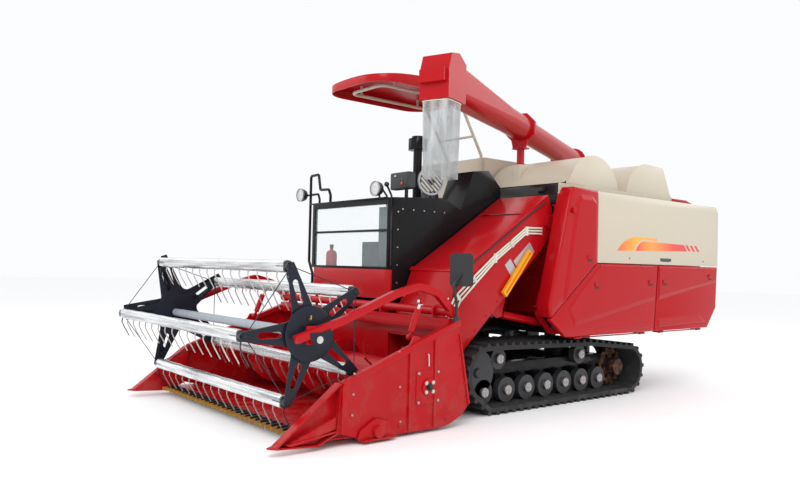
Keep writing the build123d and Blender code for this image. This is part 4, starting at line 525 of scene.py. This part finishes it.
def pillow(size, power, rows=48, columns=96):
    """A padded block about its own centre: |x/a|^p + |y/b|^p + |z/c|^p = 1, its top crowned."""
    u = np.linspace(-np.pi / 2, np.pi / 2, rows)[:, None]
    w = np.linspace(-np.pi, np.pi, columns, endpoint=False)[None, :]
    e = 2.0 / power
    x, y = [powered(np.cos(u), e) * powered(turn(w), e) for turn in (np.cos, np.sin)]
    z = powered(np.sin(u), e) + 0 * w
    crown = 0.10 * (1 - x ** 2) * (1 - y ** 2) * np.clip(z, 0, 1)
    points = np.stack([x * size[0], y * size[1], (z + crown) * size[2] / 1.1], -1)
    return points.reshape(-1, 3), grid_faces(rows, columns)


def corners(mesh):
    """A mesh's points as an array."""
    flat = np.empty(len(mesh.vertices) * 3)
    mesh.vertices.foreach_get("co", flat)
    return flat.reshape(-1, 3)


def settled(thing):
    """Replaces a piece's mesh with what its modifiers make of it, and takes them off."""
    graph = bpy.context.evaluated_depsgraph_get()
    mesh = bpy.data.meshes.new_from_object(thing.evaluated_get(graph), depsgraph=graph)
    thing.modifiers.clear()
    thing.data = mesh


def blown_up(thing):
    """The points of a voxel copy after 20 frames of cloth pressure, none moved past the cap."""
    voxel, pressure, frames, cap = 0.006, 4.0, 20, 0.022
    scene = bpy.context.scene
    grain = thing.modifiers.new("grain", "REMESH")
    grain.mode, grain.voxel_size = "VOXEL", voxel
    settled(thing)
    start = corners(thing.data)
    cloth = thing.modifiers.new("cloth", "CLOTH")
    cloth.settings.use_pressure, cloth.settings.uniform_pressure_force = True, pressure
    cloth.settings.effector_weights.gravity = 0.0
    cloth.point_cache.frame_end = frames
    for tick in range(1, frames + 1):
        scene.frame_set(tick)
    settled(thing)
    scene.frame_set(1)
    move = corners(thing.data) - start
    length = np.linalg.norm(move, axis=1, keepdims=True)
    return start + move * np.minimum(1.0, cap / np.maximum(length, 1e-9))


def plumped(thing, size, turn, centre):
    """Blows a pad up, sews two channels across its top, flattens its underside and places it.

    A channel dips by a bell curve about |x| = 0.42 a, where a is the pad's half width.
    """
    dip, width, at = 0.009, 0.009, 0.42
    place = blown_up(thing)
    a, _, c = np.asarray(size) / 1000.0
    top = np.clip(place[:, 2] / c, 0, 1)
    place[:, 2] -= dip * np.exp(-((np.abs(place[:, 0]) - at * a) / width) ** 2) * top
    place[:, 2] = np.maximum(place[:, 2], -c)
    place = place @ np.asarray(turn, float).T + metres(centre)
    thing.data.vertices.foreach_set("co", place.ravel())
    thing.data.update()
    thing.data.shade_smooth()
    round_off = thing.modifiers.new("round", "SUBSURF")
    round_off.levels = round_off.render_levels = 1


def unload_axes():
    """The parked unloader's level direction, its left and up, as the columns of a matrix."""
    along = PARKED / np.hypot(*PARKED[:2])
    return np.column_stack([along, (-along[1], along[0], 0.0), (0.0, 0.0, 1.0)])


def soften(thing, width):
    """Rounds a small fitting's edges."""
    edge = thing.modifiers.new("edge", "BEVEL")
    edge.width, edge.segments, edge.limit_method = width, 2, "ANGLE"


def recalculated(thing):
    """Turns every face outwards once its doubles are merged."""
    work = bmesh.new()
    work.from_mesh(thing.data)
    bmesh.ops.remove_doubles(work, verts=work.verts, dist=1e-6)
    bmesh.ops.recalc_face_normals(work, faces=work.faces)
    work.to_mesh(thing.data)
    work.free()
    return thing


# ---------------- settings
class HarvesterLook(bpy.types.PropertyGroup):
    red: FloatVectorProperty(name="Red", description="Colour of the red enamel", subtype="COLOR",
                             default=(0.43, 0.004, 0.008))
    cream: FloatVectorProperty(name="Cream", description="Colour of the cream enamel",
                               subtype="COLOR", default=(0.58, 0.52, 0.41))
    edge: FloatProperty(name="Edge", description="Width of the softened edges of sheet parts",
                        unit="LENGTH", default=0.0022)
    bolt: FloatProperty(name="Bolt", description="Radius of the bolt heads in millimetres",
                        default=9.0)
    lens_rings: IntProperty(name="Lens rings", description="Rings pressed into a lamp's lens",
                            default=5)


# ---------------- operators
SOFT_EDGES = (
    "thresher_body", "thresher_covers", "straw_hood", "front_side_cover", "lower_side_cover",
    "rear_side_cover", "upper_side_cover", "header_sides", "header_trough", "crop_dividers",
    "feeder_house", "grain_tank", "tank_lid", "nose_panel", "engine_hood", "operator_platform",
    "control_console", "fuel_tank", "canopy", "windshield_frame", "reel_arms", "unloader_turret",
    "chassis_frame", "header_frame", "safety_stop", "rest_post")
OWN_FINISH = {"feeder_house": "feeder_paint", "rest_post": "post_paint",
              "thresher_covers": "hump_paint", "cover_frame": "frame_paint",
              "thresher_body": "body_paint", "cutter_bar": "guard_iron",
              "reel_rotor": "rotor_paint", **{f"tine_bar_{k}": "bar_zinc" for k in range(1, 6)}}


class HARVESTER_OT_paint(bpy.types.Operator):
    """Gives every frame part its finish, welds it, softens sheet edges and shades it smooth"""
    bl_idname, bl_label = "harvester.paint", "Paint the frame"

    def execute(self, context):
        look = context.scene.harvester_look
        MADE.update(finishes(look))
        for node, thing in frame["nodes"].items():
            thing.data.materials.clear()
            thing.data.materials.append(MADE[OWN_FINISH.get(node, SLOT_OF[node])])
            thing.data.shade_smooth()
            thing.modifiers.new("weld", "WELD").merge_threshold = 0.00002
            if node in SOFT_EDGES:
                bevel = thing.modifiers.new("edge", "BEVEL")
                bevel.width, bevel.segments, bevel.angle_limit = look.edge, 2, 0.6
                bevel.limit_method, bevel.use_clamp_overlap = "ANGLE", True
            split = thing.modifiers.new("split", "EDGE_SPLIT")
            split.split_angle, split.use_edge_sharp = 0.55, False
        return {"FINISHED"}


# name, body, height, outline (y, z) and each side's inset
FIELDS = (
    ("front", "front_cover", PROUD,
     [(70, 905), (530, 1256), (530, 1800), (470, 1850), (300, 1850), (235, 1780)],
     (1, 12, 30, 45, 45, 45)),
    ("lower", "lower_cover", PROUD,
     [(330, 1010), (150, 845), (245, 690), (1494, 905), (1494, 1236), (600, 1236)],
     (12, 22, 42, 8, 8, 12)),
    ("rear", "rear_cover", PROUD,
     [(1566, 905), (2330, 1030), (2690, 1080), (2690, 1236), (1566, 1236)], (42, 30, 8, 8, 8)),
    ("lower_sill", "lower_cover", SILL_PROUD,
     [(330, 618), (1490, 640), (1490, 720), (560, 690)], (8, 8, 30, 8)),
    ("rear_sill", "rear_cover", SILL_PROUD,
     [(1570, 640), (2500, 668), (2360, 748), (1570, 722)], (8, 40, 30, 8)))
# name, body, y, z
LATCHES = (("front", "front_cover", 430, 1290), ("lower_1", "lower_cover", 545, 1050),
           ("lower_2", "lower_cover", 1405, 1075), ("rear_1", "rear_cover", 1660, 1080),
           ("rear_2", "rear_cover", 2545, 1140))


class HARVESTER_OT_covers(bpy.types.Operator):
    """Presses the side covers' fields, fits their latches over painted shade, knob, rivets and
    handle pocket
    """
    bl_idname, bl_label = "harvester.covers", "Pressed fields and latches"

    def execute(self, context):
        for name, body, height, outline, insets in FIELDS:
            field = pressed(outline, insets, height)
            soften(piece(f"field_{name}", field, "red_paint", body), 0.003)
        face, half = COVER_SIDE + PROUD, 36
        for name, body, y, z in LATCHES:
            # a flat dark red plate, reaching below the grip: painted shade of the latch pocket's
            # recess
            pocket = plate(rectangle(y - half, z - 30, y + half, z + 26), face - 0.5, 1.0)
            piece(f"latch_shade_{name}", pocket, "latch_dark", body, slot="red_paint")
            grip = pressed(rectangle(y - half, z - 12, y + half, z + 26), (10, 6, 4, 6), 12.0, face)
            soften(piece(f"latch_grip_{name}", grip, "red_paint", body), 0.002)
        knob = [(0.1, 0), (15, 0), (15, 8), (24, 10), (24, 22), (18, 28), (0.1, 28)]
        knob = turned(knob, (COVER_SIDE, 195, 1700), LEFT)
        rounded("cover_knob", knob, "red_paint", "front_cover")
        for k, y in enumerate((1060, 2420)):
            rivet = prism([(COVER_SIDE, y, 1304)], LEFT, 7, 3, 16)
            piece(f"cover_rivet_{k + 1}", rivet, "black_plastic", "upper_cover")
        lip = pressed(rectangle(1590, 1288, 1790, 1320), (3, 3, 3, 3), 2.0)
        piece("cover_handle_lip", lip, "glass_dark", "upper_cover")
        return {"FINISHED"}


class HARVESTER_OT_swoosh(bpy.types.Operator):
    """Lays the gold, flame and red stripes on the cream cover"""
    bl_idname, bl_label = "harvester.swoosh", "Stripes"

    def execute(self, context):
        def rise(y0, z0, y1, z1):
            """A curve that leaves (y0, z0) steeply and reaches (y1, z1) level."""
            a = np.linspace(0, np.pi / 2, 24)
            run = 0.25 * np.sin(a) + 0.75 * (1 - np.cos(a))
            return np.column_stack([y0 + (y1 - y0) * run, z0 + (z1 - z0) * np.sin(a)])
        face, thick = COVER_SIDE + 0.05, 0.4
        gold = np.concatenate([rise(866, 1371, 1200, 1512), [(1530, 1508), (1530, 1484)],
                               rise(1140, 1377, 1300, 1489)[::-1]])
        flame = np.concatenate([rise(1164, 1378, 1310, 1474), [(2030, 1464), (2095, 1400)]])
        for name, outline, colour in (("stripe_front", gold, "stripe_gold"),
                                      ("stripe_rear", flame, "stripe_flame")):
            band = plate(outline[::-1], face, thick)
            piece(name, band, colour, "upper_cover", slot="cream_paint")
        slashes = [plate([(y + 66, 1402), (y + 112, 1402), (y + 46, 1463), (y, 1463)], face, thick)
                   for y in (2055, 2142, 2229)]
        piece("stripe_slashes", merged(slashes), "stripe_red", "upper_cover", slot="cream_paint")
        return {"FINISHED"}


# name, body, x, start (y, z), end (y, z), count, radius and finish
BOLT_ROWS = (
    ("header_rear", "header", HEADER_SIDE, (-1200, 640), (-1110, 215), 5, 8, "red_paint"),
    ("header_foot", "header", HEADER_SIDE, (-2040, 75), (-1320, 75), 6, 8, "red_paint"),
    ("guard_panel", "machine", GUARD_SIDE, (-1090, 1040), (-1090, 1640), 5, 7, "bolt_zinc"),
    ("guard_top", "machine", GUARD_SIDE, (-1040, 1665), (-560, 1665), 5, 7, "bolt_zinc"),
    ("feeder_side", "header", FEEDER_SIDE, (-850, 1120), (-300, 1440), 5, 8, "red_paint"),
    ("feeder_low", "header", FEEDER_SIDE, (-900, 560), (-250, 1140), 6, 8, "red_paint"))


class HARVESTER_OT_bolts(bpy.types.Operator):
    """Sets the rows of bolt heads on the header, feeder, guard and unloader tube"""
    bl_idname, bl_label = "harvester.bolts", "Bolts"

    def execute(self, context):
        for name, body, x, start, end, count, radius, finish in BOLT_ROWS:
            heads = prism(np.linspace((x, *start), (x, *end), count), LEFT, radius, radius * 0.6)
            piece(f"bolts_{name}", heads, finish, body, slot="steel")
        # eight round the flange where the tube lies on its rest, turned with the parked tube
        angle, turn, bolt_circle = np.arange(8) * np.pi / 4 + np.pi / 8, unload_axes(), 138
        rest = float(np.hypot(*PARKED[:2]))
        local = np.column_stack([np.full(8, rest - 12.0), bolt_circle * np.cos(angle),
                                 bolt_circle * np.sin(angle)])
        cos, sin = np.cos(TUBE_TILT), np.sin(TUBE_TILT)
        lean = np.array([[cos, 0, -sin], [0, 1, 0], [sin, 0, cos]])
        radius = context.scene.harvester_look.bolt + 2.0
        heads = prism((local @ lean.T) @ turn.T + TURRET, -(lean @ LEFT) @ turn.T, radius, 9)
        piece("bolts_tube_flange", heads, "bolt_zinc", "unloader")
        return {"FINISHED"}


ROLLERS = [(y, 165.0) for y in (-629, -350, -95, 160, 415, 670, 925)] + [(-455, 430), (640, 405)]


class HARVESTER_OT_running_gear(bpy.types.Operator):
    """Adds the grey caps and bolts of the track rollers"""
    bl_idname, bl_label = "harvester.running_gear", "Roller caps"

    def execute(self, context):
        profile = [(0.1, 0), (41, 0), (41, 5), (37, 8), (0.1, 8)]
        for side, x, out in (("left", 984.0, 1.0), ("right", -570.0, -1.0)):
            caps = [turned(profile, (x, y, z), (out, 0, 0), 28) for y, z in ROLLERS]
            rounded(f"roller_caps_{side}", merged(caps), "cap_grey", "machine", slot="roller_grey")
            angle = np.arange(4) * np.pi / 2 + np.pi / 4
            centres = [(x + out * 8, y + 25 * np.cos(a), z + 25 * np.sin(a))
                       for y, z in ROLLERS for a in angle]
            piece(f"roller_cap_bolts_{side}", prism(centres, (out, 0, 0), 6, 4), "bolt_zinc",
                  "machine")
        return {"FINISHED"}


class HARVESTER_OT_reel(bpy.types.Operator):
    """Wraps the reel's bats in bright sheet with black end caps and dresses the left hub"""
    bl_idname, bl_label = "harvester.reel", "Reel trim"

    def execute(self, context):
        sides, count = 28, 61
        turn, x = circle(sides)[None, :], np.linspace(-BAT_HALF, BAT_HALF, count)[:, None]
        faces = turned_over(grid_faces(count, sides) + end_faces(count, sides))
        for number in range(5):
            a = np.radians(180 - 72 * number)
            y, z = HUB + BAT_CIRCLE * np.array((np.cos(a), np.sin(a)))
            # radius 41, ovalled by the sheet's lap and rippled along the bar
            radius = (41.0 + 1.8 * np.cos(2 * turn + 0.9 + number)
                      + 0.7 * np.sin(5 * turn + x / 90.0 + number)
                      + 0.9 * np.sin(x / 37.0 + 2.0 * np.cos(turn)))
            # the leading side lies flat on the bar, so that the wrap stays in the machine's length
            ahead = np.maximum(radius * np.cos(turn), -BAT_FACE)
            ring = np.stack([x + 0 * turn, y + ahead, z + radius * np.sin(turn)], -1)
            body = f"bar_{number + 1}"
            recalculated(rounded(f"bat_wrap_{number + 1}", (ring.reshape(-1, 3), faces),
                                 "wrap_film", body, slot="galvanised"))
            profile = [(31, 0), (37, 0), (37, 16), (31, 18)]
            v, f = merged([turned(profile, (side * (BAT_HALF + 1), y, z), (side, 0, 0), 20)
                           for side in (-1, 1)])
            v[:, 1] = np.maximum(v[:, 1], y - BAT_FACE)
            recalculated(rounded(f"bat_caps_{number + 1}", (v, f), "black_plastic", body))
        x, thick = 1231.0, 5.0
        outline = [(-2478, 748), (-2470, 700), (-2440, 668), (-2395, 655), (-2352, 672),
                   (-2336, 716), (-2322, 770), (-2385, 748)]
        bracket = plate(outline, x, thick)
        soften(piece("hub_bracket", bracket, "reel_blue", "reel_frame"), 0.0015)
        bolt = [(0.1, 0), (24, 0), (24, 3), (14, 3.5), (14, 12), (0.1, 12)]
        rounded("hub_bolt", turned(bolt, (x + thick, HUB[0], 702), LEFT, 24), "bolt_zinc",
                "reel_frame")
        disc = turned([(62, 0), (178, 0), (184, 4), (178, 8), (62, 8)], (1112.4, *HUB), LEFT, 56)
        recalculated(rounded("hub_disc", disc, "reel_blue", "reel"))
        path = [(1121, -2420, 822), (1140, -2420, 822), (1146, -2420, 826), (1146, -2418, 852)]
        rounded("hub_handle", tube(path, 6.0), "brass", "reel")
        return {"FINISHED"}


class HARVESTER_OT_header_side(bpy.types.Operator):
    """Bolts the auger's bearing plate, hangs its pin and caps the header's knife drive"""
    bl_idname, bl_label = "harvester.header_side", "Header side"

    def execute(self, context):
        y, z = AUGER
        plate_face, hub_face, boss_face = 1256.0, 1272.0, 1285.8
        bolts = [(plate_face, y + i * 92, z + j * 102) for i in (-1, 1) for j in (-1, 1)]
        piece("bearing_bolts", prism(bolts, LEFT, 11, 8), "cap_grey", "header")
        nut = [(0.1, 0), (14, 0), (14, 5), (7, 6), (7, 11), (0.1, 11)]
        nuts = [turned(nut, (hub_face, y + 45 * np.cos(a), z + 45 * np.sin(a)), LEFT, 18)
                for a in np.arange(4) * np.pi / 2 + np.pi / 4]
        rounded("bearing_nuts", merged(nuts), "bolt_zinc", "header")
        cap = [(0.1, 0), (27, 0), (27, 6), (17, 7), (17, 20), (14, 24), (0.1, 24)]
        rounded("auger_shaft_cap", turned(cap, (hub_face, y, z), LEFT, 24), "black_plastic",
                "header")
        path = [(1252, y - 12, z + 232), (1266, y - 12, z + 232), (1270, y - 12, z + 226),
                (1270, y - 8, z + 150)]
        rounded("hanging_pin", tube(path, 5), "bolt_zinc", "header")
        cap = [(0.1, 0), (34, 0), (36, 3), (36, 9), (16, 12), (0.1, 12)]
        rounded("knife_drive_cap", turned(cap, (boss_face, -1950, 75), LEFT, 28), "black_plastic",
                "header")
        for name, start, end in (("front", (-2140, 470), (-2150, 200)),
                                 ("middle", (-1760, 590), (-1740, 110))):
            heads = np.linspace((HEADER_SIDE, *start), (HEADER_SIDE, *end), 3)
            piece(f"side_bolts_{name}", prism(heads, LEFT, 8, 5), "cap_grey", "header")
        return {"FINISHED"}


# name, centre (y, z), half its size along the slope and half across it
BLANK_PLATES = (("long", (-190, 1290), 130, 52), ("short", (-335, 1165), 42, 95))
PIPE_CLIPS = ((-980.0, 950.0), (-800.0, 1086.0), (-370.0, 1388.0))
FEEDER_EDGE = ((-1012, 960), (-940, 1128), (-750, 1256), (-565, 1372), (-340, 1516),
               (-110, 1664), (60, 1772))


class HARVESTER_OT_feeder(bpy.types.Operator):
    """Fits the blank plates, the pipe clips, the top panel and the edge strip of the feeder"""
    bl_idname, bl_label = "harvester.feeder", "Feeder trim"

    def execute(self, context):
        slope = np.radians(40.0)
        along = np.array((np.cos(slope), np.sin(slope)))
        upward = np.array((-np.sin(slope), np.cos(slope)))

        def slanted(centre, half, wide):
            """The corners of a rectangle turned to the slope."""
            return [np.array(centre, float) + along * i * half + upward * j * wide
                    for i, j in ((-1, -1), (1, -1), (1, 1), (-1, 1))]
        for name, centre, half, wide in BLANK_PLATES:
            blank = plate(slanted(centre, half, wide), FEEDER_SIDE + 0.05, 1.2)
            piece(f"blank_plate_{name}", blank, "plate_silver", "header")
        clips = [plate(slanted(place, 13, 30), 1004.0, 12.0) for place in PIPE_CLIPS]
        piece("pipe_clips", merged(clips), "bolt_zinc", "header")
        # the raised panel on the feeder's lower top, 4 mm proud of the sheet
        low, high = np.array((-1150.0, 712.0)), np.array((-1025.0, 960.0))
        rise = (high - low) / np.linalg.norm(high - low)
        out = np.array((-rise[1], rise[0]))

        def on_sheet(start, end, lift):
            """The four corners over a stretch of the sheet's slope, lift above it."""
            left, right = 446.0, 944.0
            return np.array([(x, *(low + rise * d + out * lift)) for x, d in
                             ((left, start), (right, start), (right, end), (left, end))])
        panel = piece("feeder_top_panel", walled(on_sheet(14, 262, 0.2), on_sheet(20, 256, 4.0)),
                      "red_paint", "header")
        soften(recalculated(panel), 0.001)
        bolts = [(x, *(low + rise * d)) for x in (425.0, 965.0) for d in (30.0, 245.0)]
        piece("feeder_top_bolts", prism(bolts, (0, *out), 9, 7), "bolt_zinc", "header")
        # the upper lid's hinge, 470 mm up the second slope and 4 mm above it
        climb = np.array((680.0, 438.0)) / np.hypot(680, 438)
        seat = np.array((-565.0, 1402.0)) + climb * 470.0 + np.array((-climb[1], climb[0])) * 4.0
        hinge = tube([(x, *seat) for x in np.linspace(470, 930, 8)], 4.5)
        rounded("feeder_hinge", hinge, "glass_dark", "header", slot="steel")
        wave = 997.0 + 2.0 * np.sin(np.arange(len(FEEDER_EDGE)) * 2.1)
        strip = tube(np.column_stack([wave, np.array(FEEDER_EDGE, float)]), 7.0)
        rounded("feeder_edge_strip", strip, "black_plastic", "header")
        return {"FINISHED"}


LAMPS = (("rail", (-985.0, -1215, 1850.0)), ("cap", (215.0, -1215, 1835.0)))
# name, x, z, radius and finish
MONITOR_LAMPS = (("red", 262, 1900, 12, "stripe_red"), ("green", 262, 1938, 7, "lamp_green"),
                 ("white", 170, 1968, 9, "hem_cream"))
MIRROR = np.array((1200.0, -1133.0, 420.0 + 380.0 * 1000.0 / 1040.0 + 380.0))
FAN = np.array((335.0, -700.0, 1935.0))


class HARVESTER_OT_cabin(bpy.types.Operator):
    """Makes the lamps, mirror glass, monitor, fan guard, extinguisher and seat"""
    bl_idname, bl_label = "harvester.cabin", "Operator's place"

    def execute(self, context):
        self.lamps(context.scene.harvester_look.lens_rings)
        self.mirror_and_monitor()
        self.fan()
        self.extinguisher()
        self.seat()
        return {"FINISHED"}

    def lamps(self, rings):
        rim = [(60, 0), (65, 0), (65, 12), (60, 12)]
        # the lens: a shallow dome over radius 62 with a cosine ripple for each pressed ring
        r = np.linspace(59.5, 0.1, 8 * rings)
        h = (4.0 + 8.0 * np.sqrt(np.clip(1 - (r / 62) ** 2, 0, 1))
             + 0.7 * np.cos(r / 59.5 * np.pi * 2 * rings))
        for name, place in LAMPS:
            rounded(f"lamp_rim_{name}", turned(rim, place, FORWARD, 36), "cap_grey", "machine")
            bowl = turned([(0.1, 0.5), (58, 0.5), (59, 1.5)], place, FORWARD, 36)
            rounded(f"lamp_reflector_{name}", bowl, "reflector", "machine")
            lens = turned(np.column_stack([r, h]), place, FORWARD, 36)
            rounded(f"lamp_lens_{name}", lens, "lamp_lens", "machine")

    def mirror_and_monitor(self):
        back, side = np.array((-0.6, 0.8, 0.0)), np.array((0.8, 0.6, 0.0))
        corner = np.array([(-78, -115), (78, -115), (78, 115), (-78, 115)], float)
        flat = MIRROR + back * 15.2 + corner[:, :1] * side + corner[:, 1:] * UP
        recalculated(piece("mirror_face", walled(flat, flat + back * 1.2), "mirror_glass",
                           "header"))
        screen = plate(rectangle(-958, 1868, -882, 1985), 345.05, 1.5)
        piece("monitor_side_plate", screen, "glass_dark", "machine")
        for name, x, z, r, colour in MONITOR_LAMPS:
            lamp = [(0.1, 0), (r, 0), (r, 7), (r * 0.7, 10), (0.1, 10)]
            rounded(f"monitor_lamp_{name}", turned(lamp, (x, -960, z), FORWARD, 20), colour,
                    "machine")

    def fan(self):
        n, u = np.array([(0.95, -0.3, 0.0), (0.3, 0.95, 0.0)]) / np.hypot(0.95, 0.3)
        origin = FAN + n * 20.0
        rim = turned([(109, 0), (126, 0), (126, 5), (118, 8), (109, 5)], origin, n, 40)
        rounded("fan_rim", rim, "fan_grey", "machine")
        # seven parallel bars, 30 mm apart at 45 degrees, each a chord of the rim
        a, b, reach, pitch = (u + UP) / np.sqrt(2), (-u + UP) / np.sqrt(2), 118.0, 30.0
        bars = []
        for i in range(-3, 4):
            half = np.sqrt(reach ** 2 - (pitch * i) ** 2)
            chord = np.linspace(-half, half, 6)[:, None] * b
            bars.append(tube(origin + n * 2 + a * pitch * i + chord, 3.2, 8))
        rounded("fan_bars", merged(bars), "fan_grey", "machine")

    def extinguisher(self):
        x, y, z = -690, -1035, 991
        bottle = [(0.1, 0), (46, 0), (52, 10), (52, 290), (40, 318), (16, 330), (16, 350),
                  (0.1, 350)]
        rounded("extinguisher", turned(bottle, (x, y, z), UP, 28), "red_paint", "machine")
        valve = turned([(0.1, 0), (19, 0), (19, 30), (0.1, 34)], (x, y, z + 350), UP, 20)
        rounded("extinguisher_valve", valve, "black_plastic", "machine")

    def seat(self):
        seat_low, seat_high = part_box("operator_seat")
        x = (seat_low.x + seat_high.x) * 500
        for name, size, turn, centre in (
                ("seat_cushion", (212, 204, 36), np.eye(3), (x, -245, 1530.5)),
                ("seat_back", (197, 218, 38), [[1, 0, 0], [0, 0, -1], [0, 1, 0]],
                 (x, -32, 1751))):
            pad = rounded(name, pillow(size, 5.0), "seat_vinyl", "machine", local=True)
            plumped(recalculated(pad), size, turn, centre)
        base = plate(rectangle(-355, 1420.2, -65, 1494), -620.0, 265.0)
        soften(piece("seat_base", base, "black_plastic", "machine"), 0.006)
        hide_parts("operator_seat")


class HARVESTER_OT_sleeve(bpy.types.Operator):
    """Hangs the clear sleeve under the unloader's outlet"""
    bl_idname, bl_label = "harvester.sleeve", "Clear sleeve"

    def execute(self, context):
        rows, columns, drop, outlet = 60, 160, 610.0, 3290.0
        down = np.linspace(0, 1, rows)[:, None]
        turn = circle(columns)[None, :]
        # a rounded square whose sides narrow a little to the foot, with folds that grow downwards
        half_x, half_y = 124.0 - 8.0 * down, 122.0 - 10.0 * down
        folds = (1.0 - 0.012 * down * (1 + np.sin(7 * turn + 2.2 * down))
                 - 0.006 * (1 + np.sin(19 * turn - 3 * down)) * down)
        square = 0.28
        local = np.stack([half_x * powered(np.cos(turn), square) * folds,
                          half_y * powered(np.sin(turn), square) * folds,
                          -drop * down + 0 * turn], -1)
        top = outlet * np.tan(TUBE_TILT) - 165.3
        place = (local + (outlet + 150.0, 0.0, top)) @ unload_axes().T + TURRET
        skin = place.reshape(-1, 3), grid_faces(rows, columns)
        sleeve = recalculated(rounded("sleeve_skin", skin, "clear_sleeve", "unloader"))
        wall = sleeve.modifiers.new("wall", "SOLIDIFY")
        wall.thickness, wall.offset = 0.0008, -1.0
        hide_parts("spout_sleeve")
        hem = np.concatenate([place[0], place[0, :1]]) - (0, 0, 9.0)
        rounded("sleeve_band", tube(hem, 4.0, 8), "hem_cream", "unloader", slot="clear_sleeve")
        return {"FINISHED"}


# name, place, size and power, in metres and watts
LIGHTS = (("key", (6.5, -7.0, 8.0), 5.0, 420.0), ("fill", (-7.0, -6.0, 6.0), 7.0, 120.0),
          ("back", (3.0, 8.0, 7.0), 6.0, 180.0))
LIT = Vector((0, 0, 1.2))                       # what the lights point at
EYE = (5.144, -4.970 + BACK / 1000.0, 1.189)
YAW, PITCH, ROLL = np.radians((50.65, -1.19, 1.36))
FOCAL = 730.0 / 800.0                           # as a share of the picture's width


class HARVESTER_OT_stage(bpy.types.Operator):
    """Builds the pale floor, the soft lights and the camera"""
    bl_idname, bl_label = "harvester.stage", "Stage"

    def execute(self, context):
        scene = context.scene
        bpy.ops.mesh.primitive_plane_add(size=80)
        floor = context.object
        floor.name = "floor"
        floor.data.materials.append(even("floor_pale", (0.97, 0.97, 0.97), 1.0))
        world = bpy.data.worlds.new("soft_world")
        world.use_nodes = True
        sky = world.node_tree.nodes["Background"]
        sky.inputs["Color"].default_value = (0.97, 0.98, 1.0, 1.0)
        sky.inputs["Strength"].default_value = 1.0
        scene.world = world
        scene.view_settings.view_transform = "Standard"
        for name, place, size, power in LIGHTS:
            lamp = bpy.data.lights.new(name, "AREA")
            lamp.size, lamp.energy = size, power
            holder = bpy.data.objects.new(name, lamp)
            holder.location = place
            holder.rotation_euler = (LIT - Vector(place)).to_track_quat("-Z", "Y").to_euler()
            scene.collection.objects.link(holder)
        camera = bpy.data.cameras.new("camera")
        camera.sensor_width, camera.clip_end = 36.0, 200.0
        camera.lens = camera.sensor_width * FOCAL
        holder = bpy.data.objects.new("camera", camera)
        turns = ((YAW, "Z"), (np.pi / 2 - PITCH, "X"), (ROLL, "Z"))
        yawed, pitched, rolled = [Matrix.Rotation(angle, 3, axis) for angle, axis in turns]
        holder.rotation_euler = (yawed @ pitched @ rolled).to_euler()
        holder.location = EYE
        scene.collection.objects.link(holder)
        scene.camera = holder
        return {"FINISHED"}


OPERATORS = (HARVESTER_OT_paint, HARVESTER_OT_covers, HARVESTER_OT_swoosh, HARVESTER_OT_bolts,
             HARVESTER_OT_running_gear, HARVESTER_OT_reel, HARVESTER_OT_header_side,
             HARVESTER_OT_feeder, HARVESTER_OT_cabin, HARVESTER_OT_sleeve, HARVESTER_OT_stage)


class HARVESTER_PT_panel(bpy.types.Panel):
    """Lists the harvester's settings and operators"""
    bl_label, bl_space_type, bl_region_type = "Harvester", "VIEW_3D", "UI"
    bl_category = "Harvester"

    def draw(self, context):
        for name in HarvesterLook.__annotations__:
            self.layout.prop(context.scene.harvester_look, name)
        for operator in OPERATORS:
            self.layout.operator(operator.bl_idname)


CLASSES = (HarvesterLook, *OPERATORS, HARVESTER_PT_panel)


def register():
    for item in CLASSES:
        bpy.utils.register_class(item)
    bpy.types.Scene.harvester_look = PointerProperty(type=HarvesterLook)


def unregister():
    del bpy.types.Scene.harvester_look
    for item in reversed(CLASSES):
        bpy.utils.unregister_class(item)


def main():
    """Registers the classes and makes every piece."""
    register()
    for operator in OPERATORS:
        getattr(bpy.ops.harvester, operator.bl_idname.split(".")[1])()


if __name__ == "__main__":
    main()
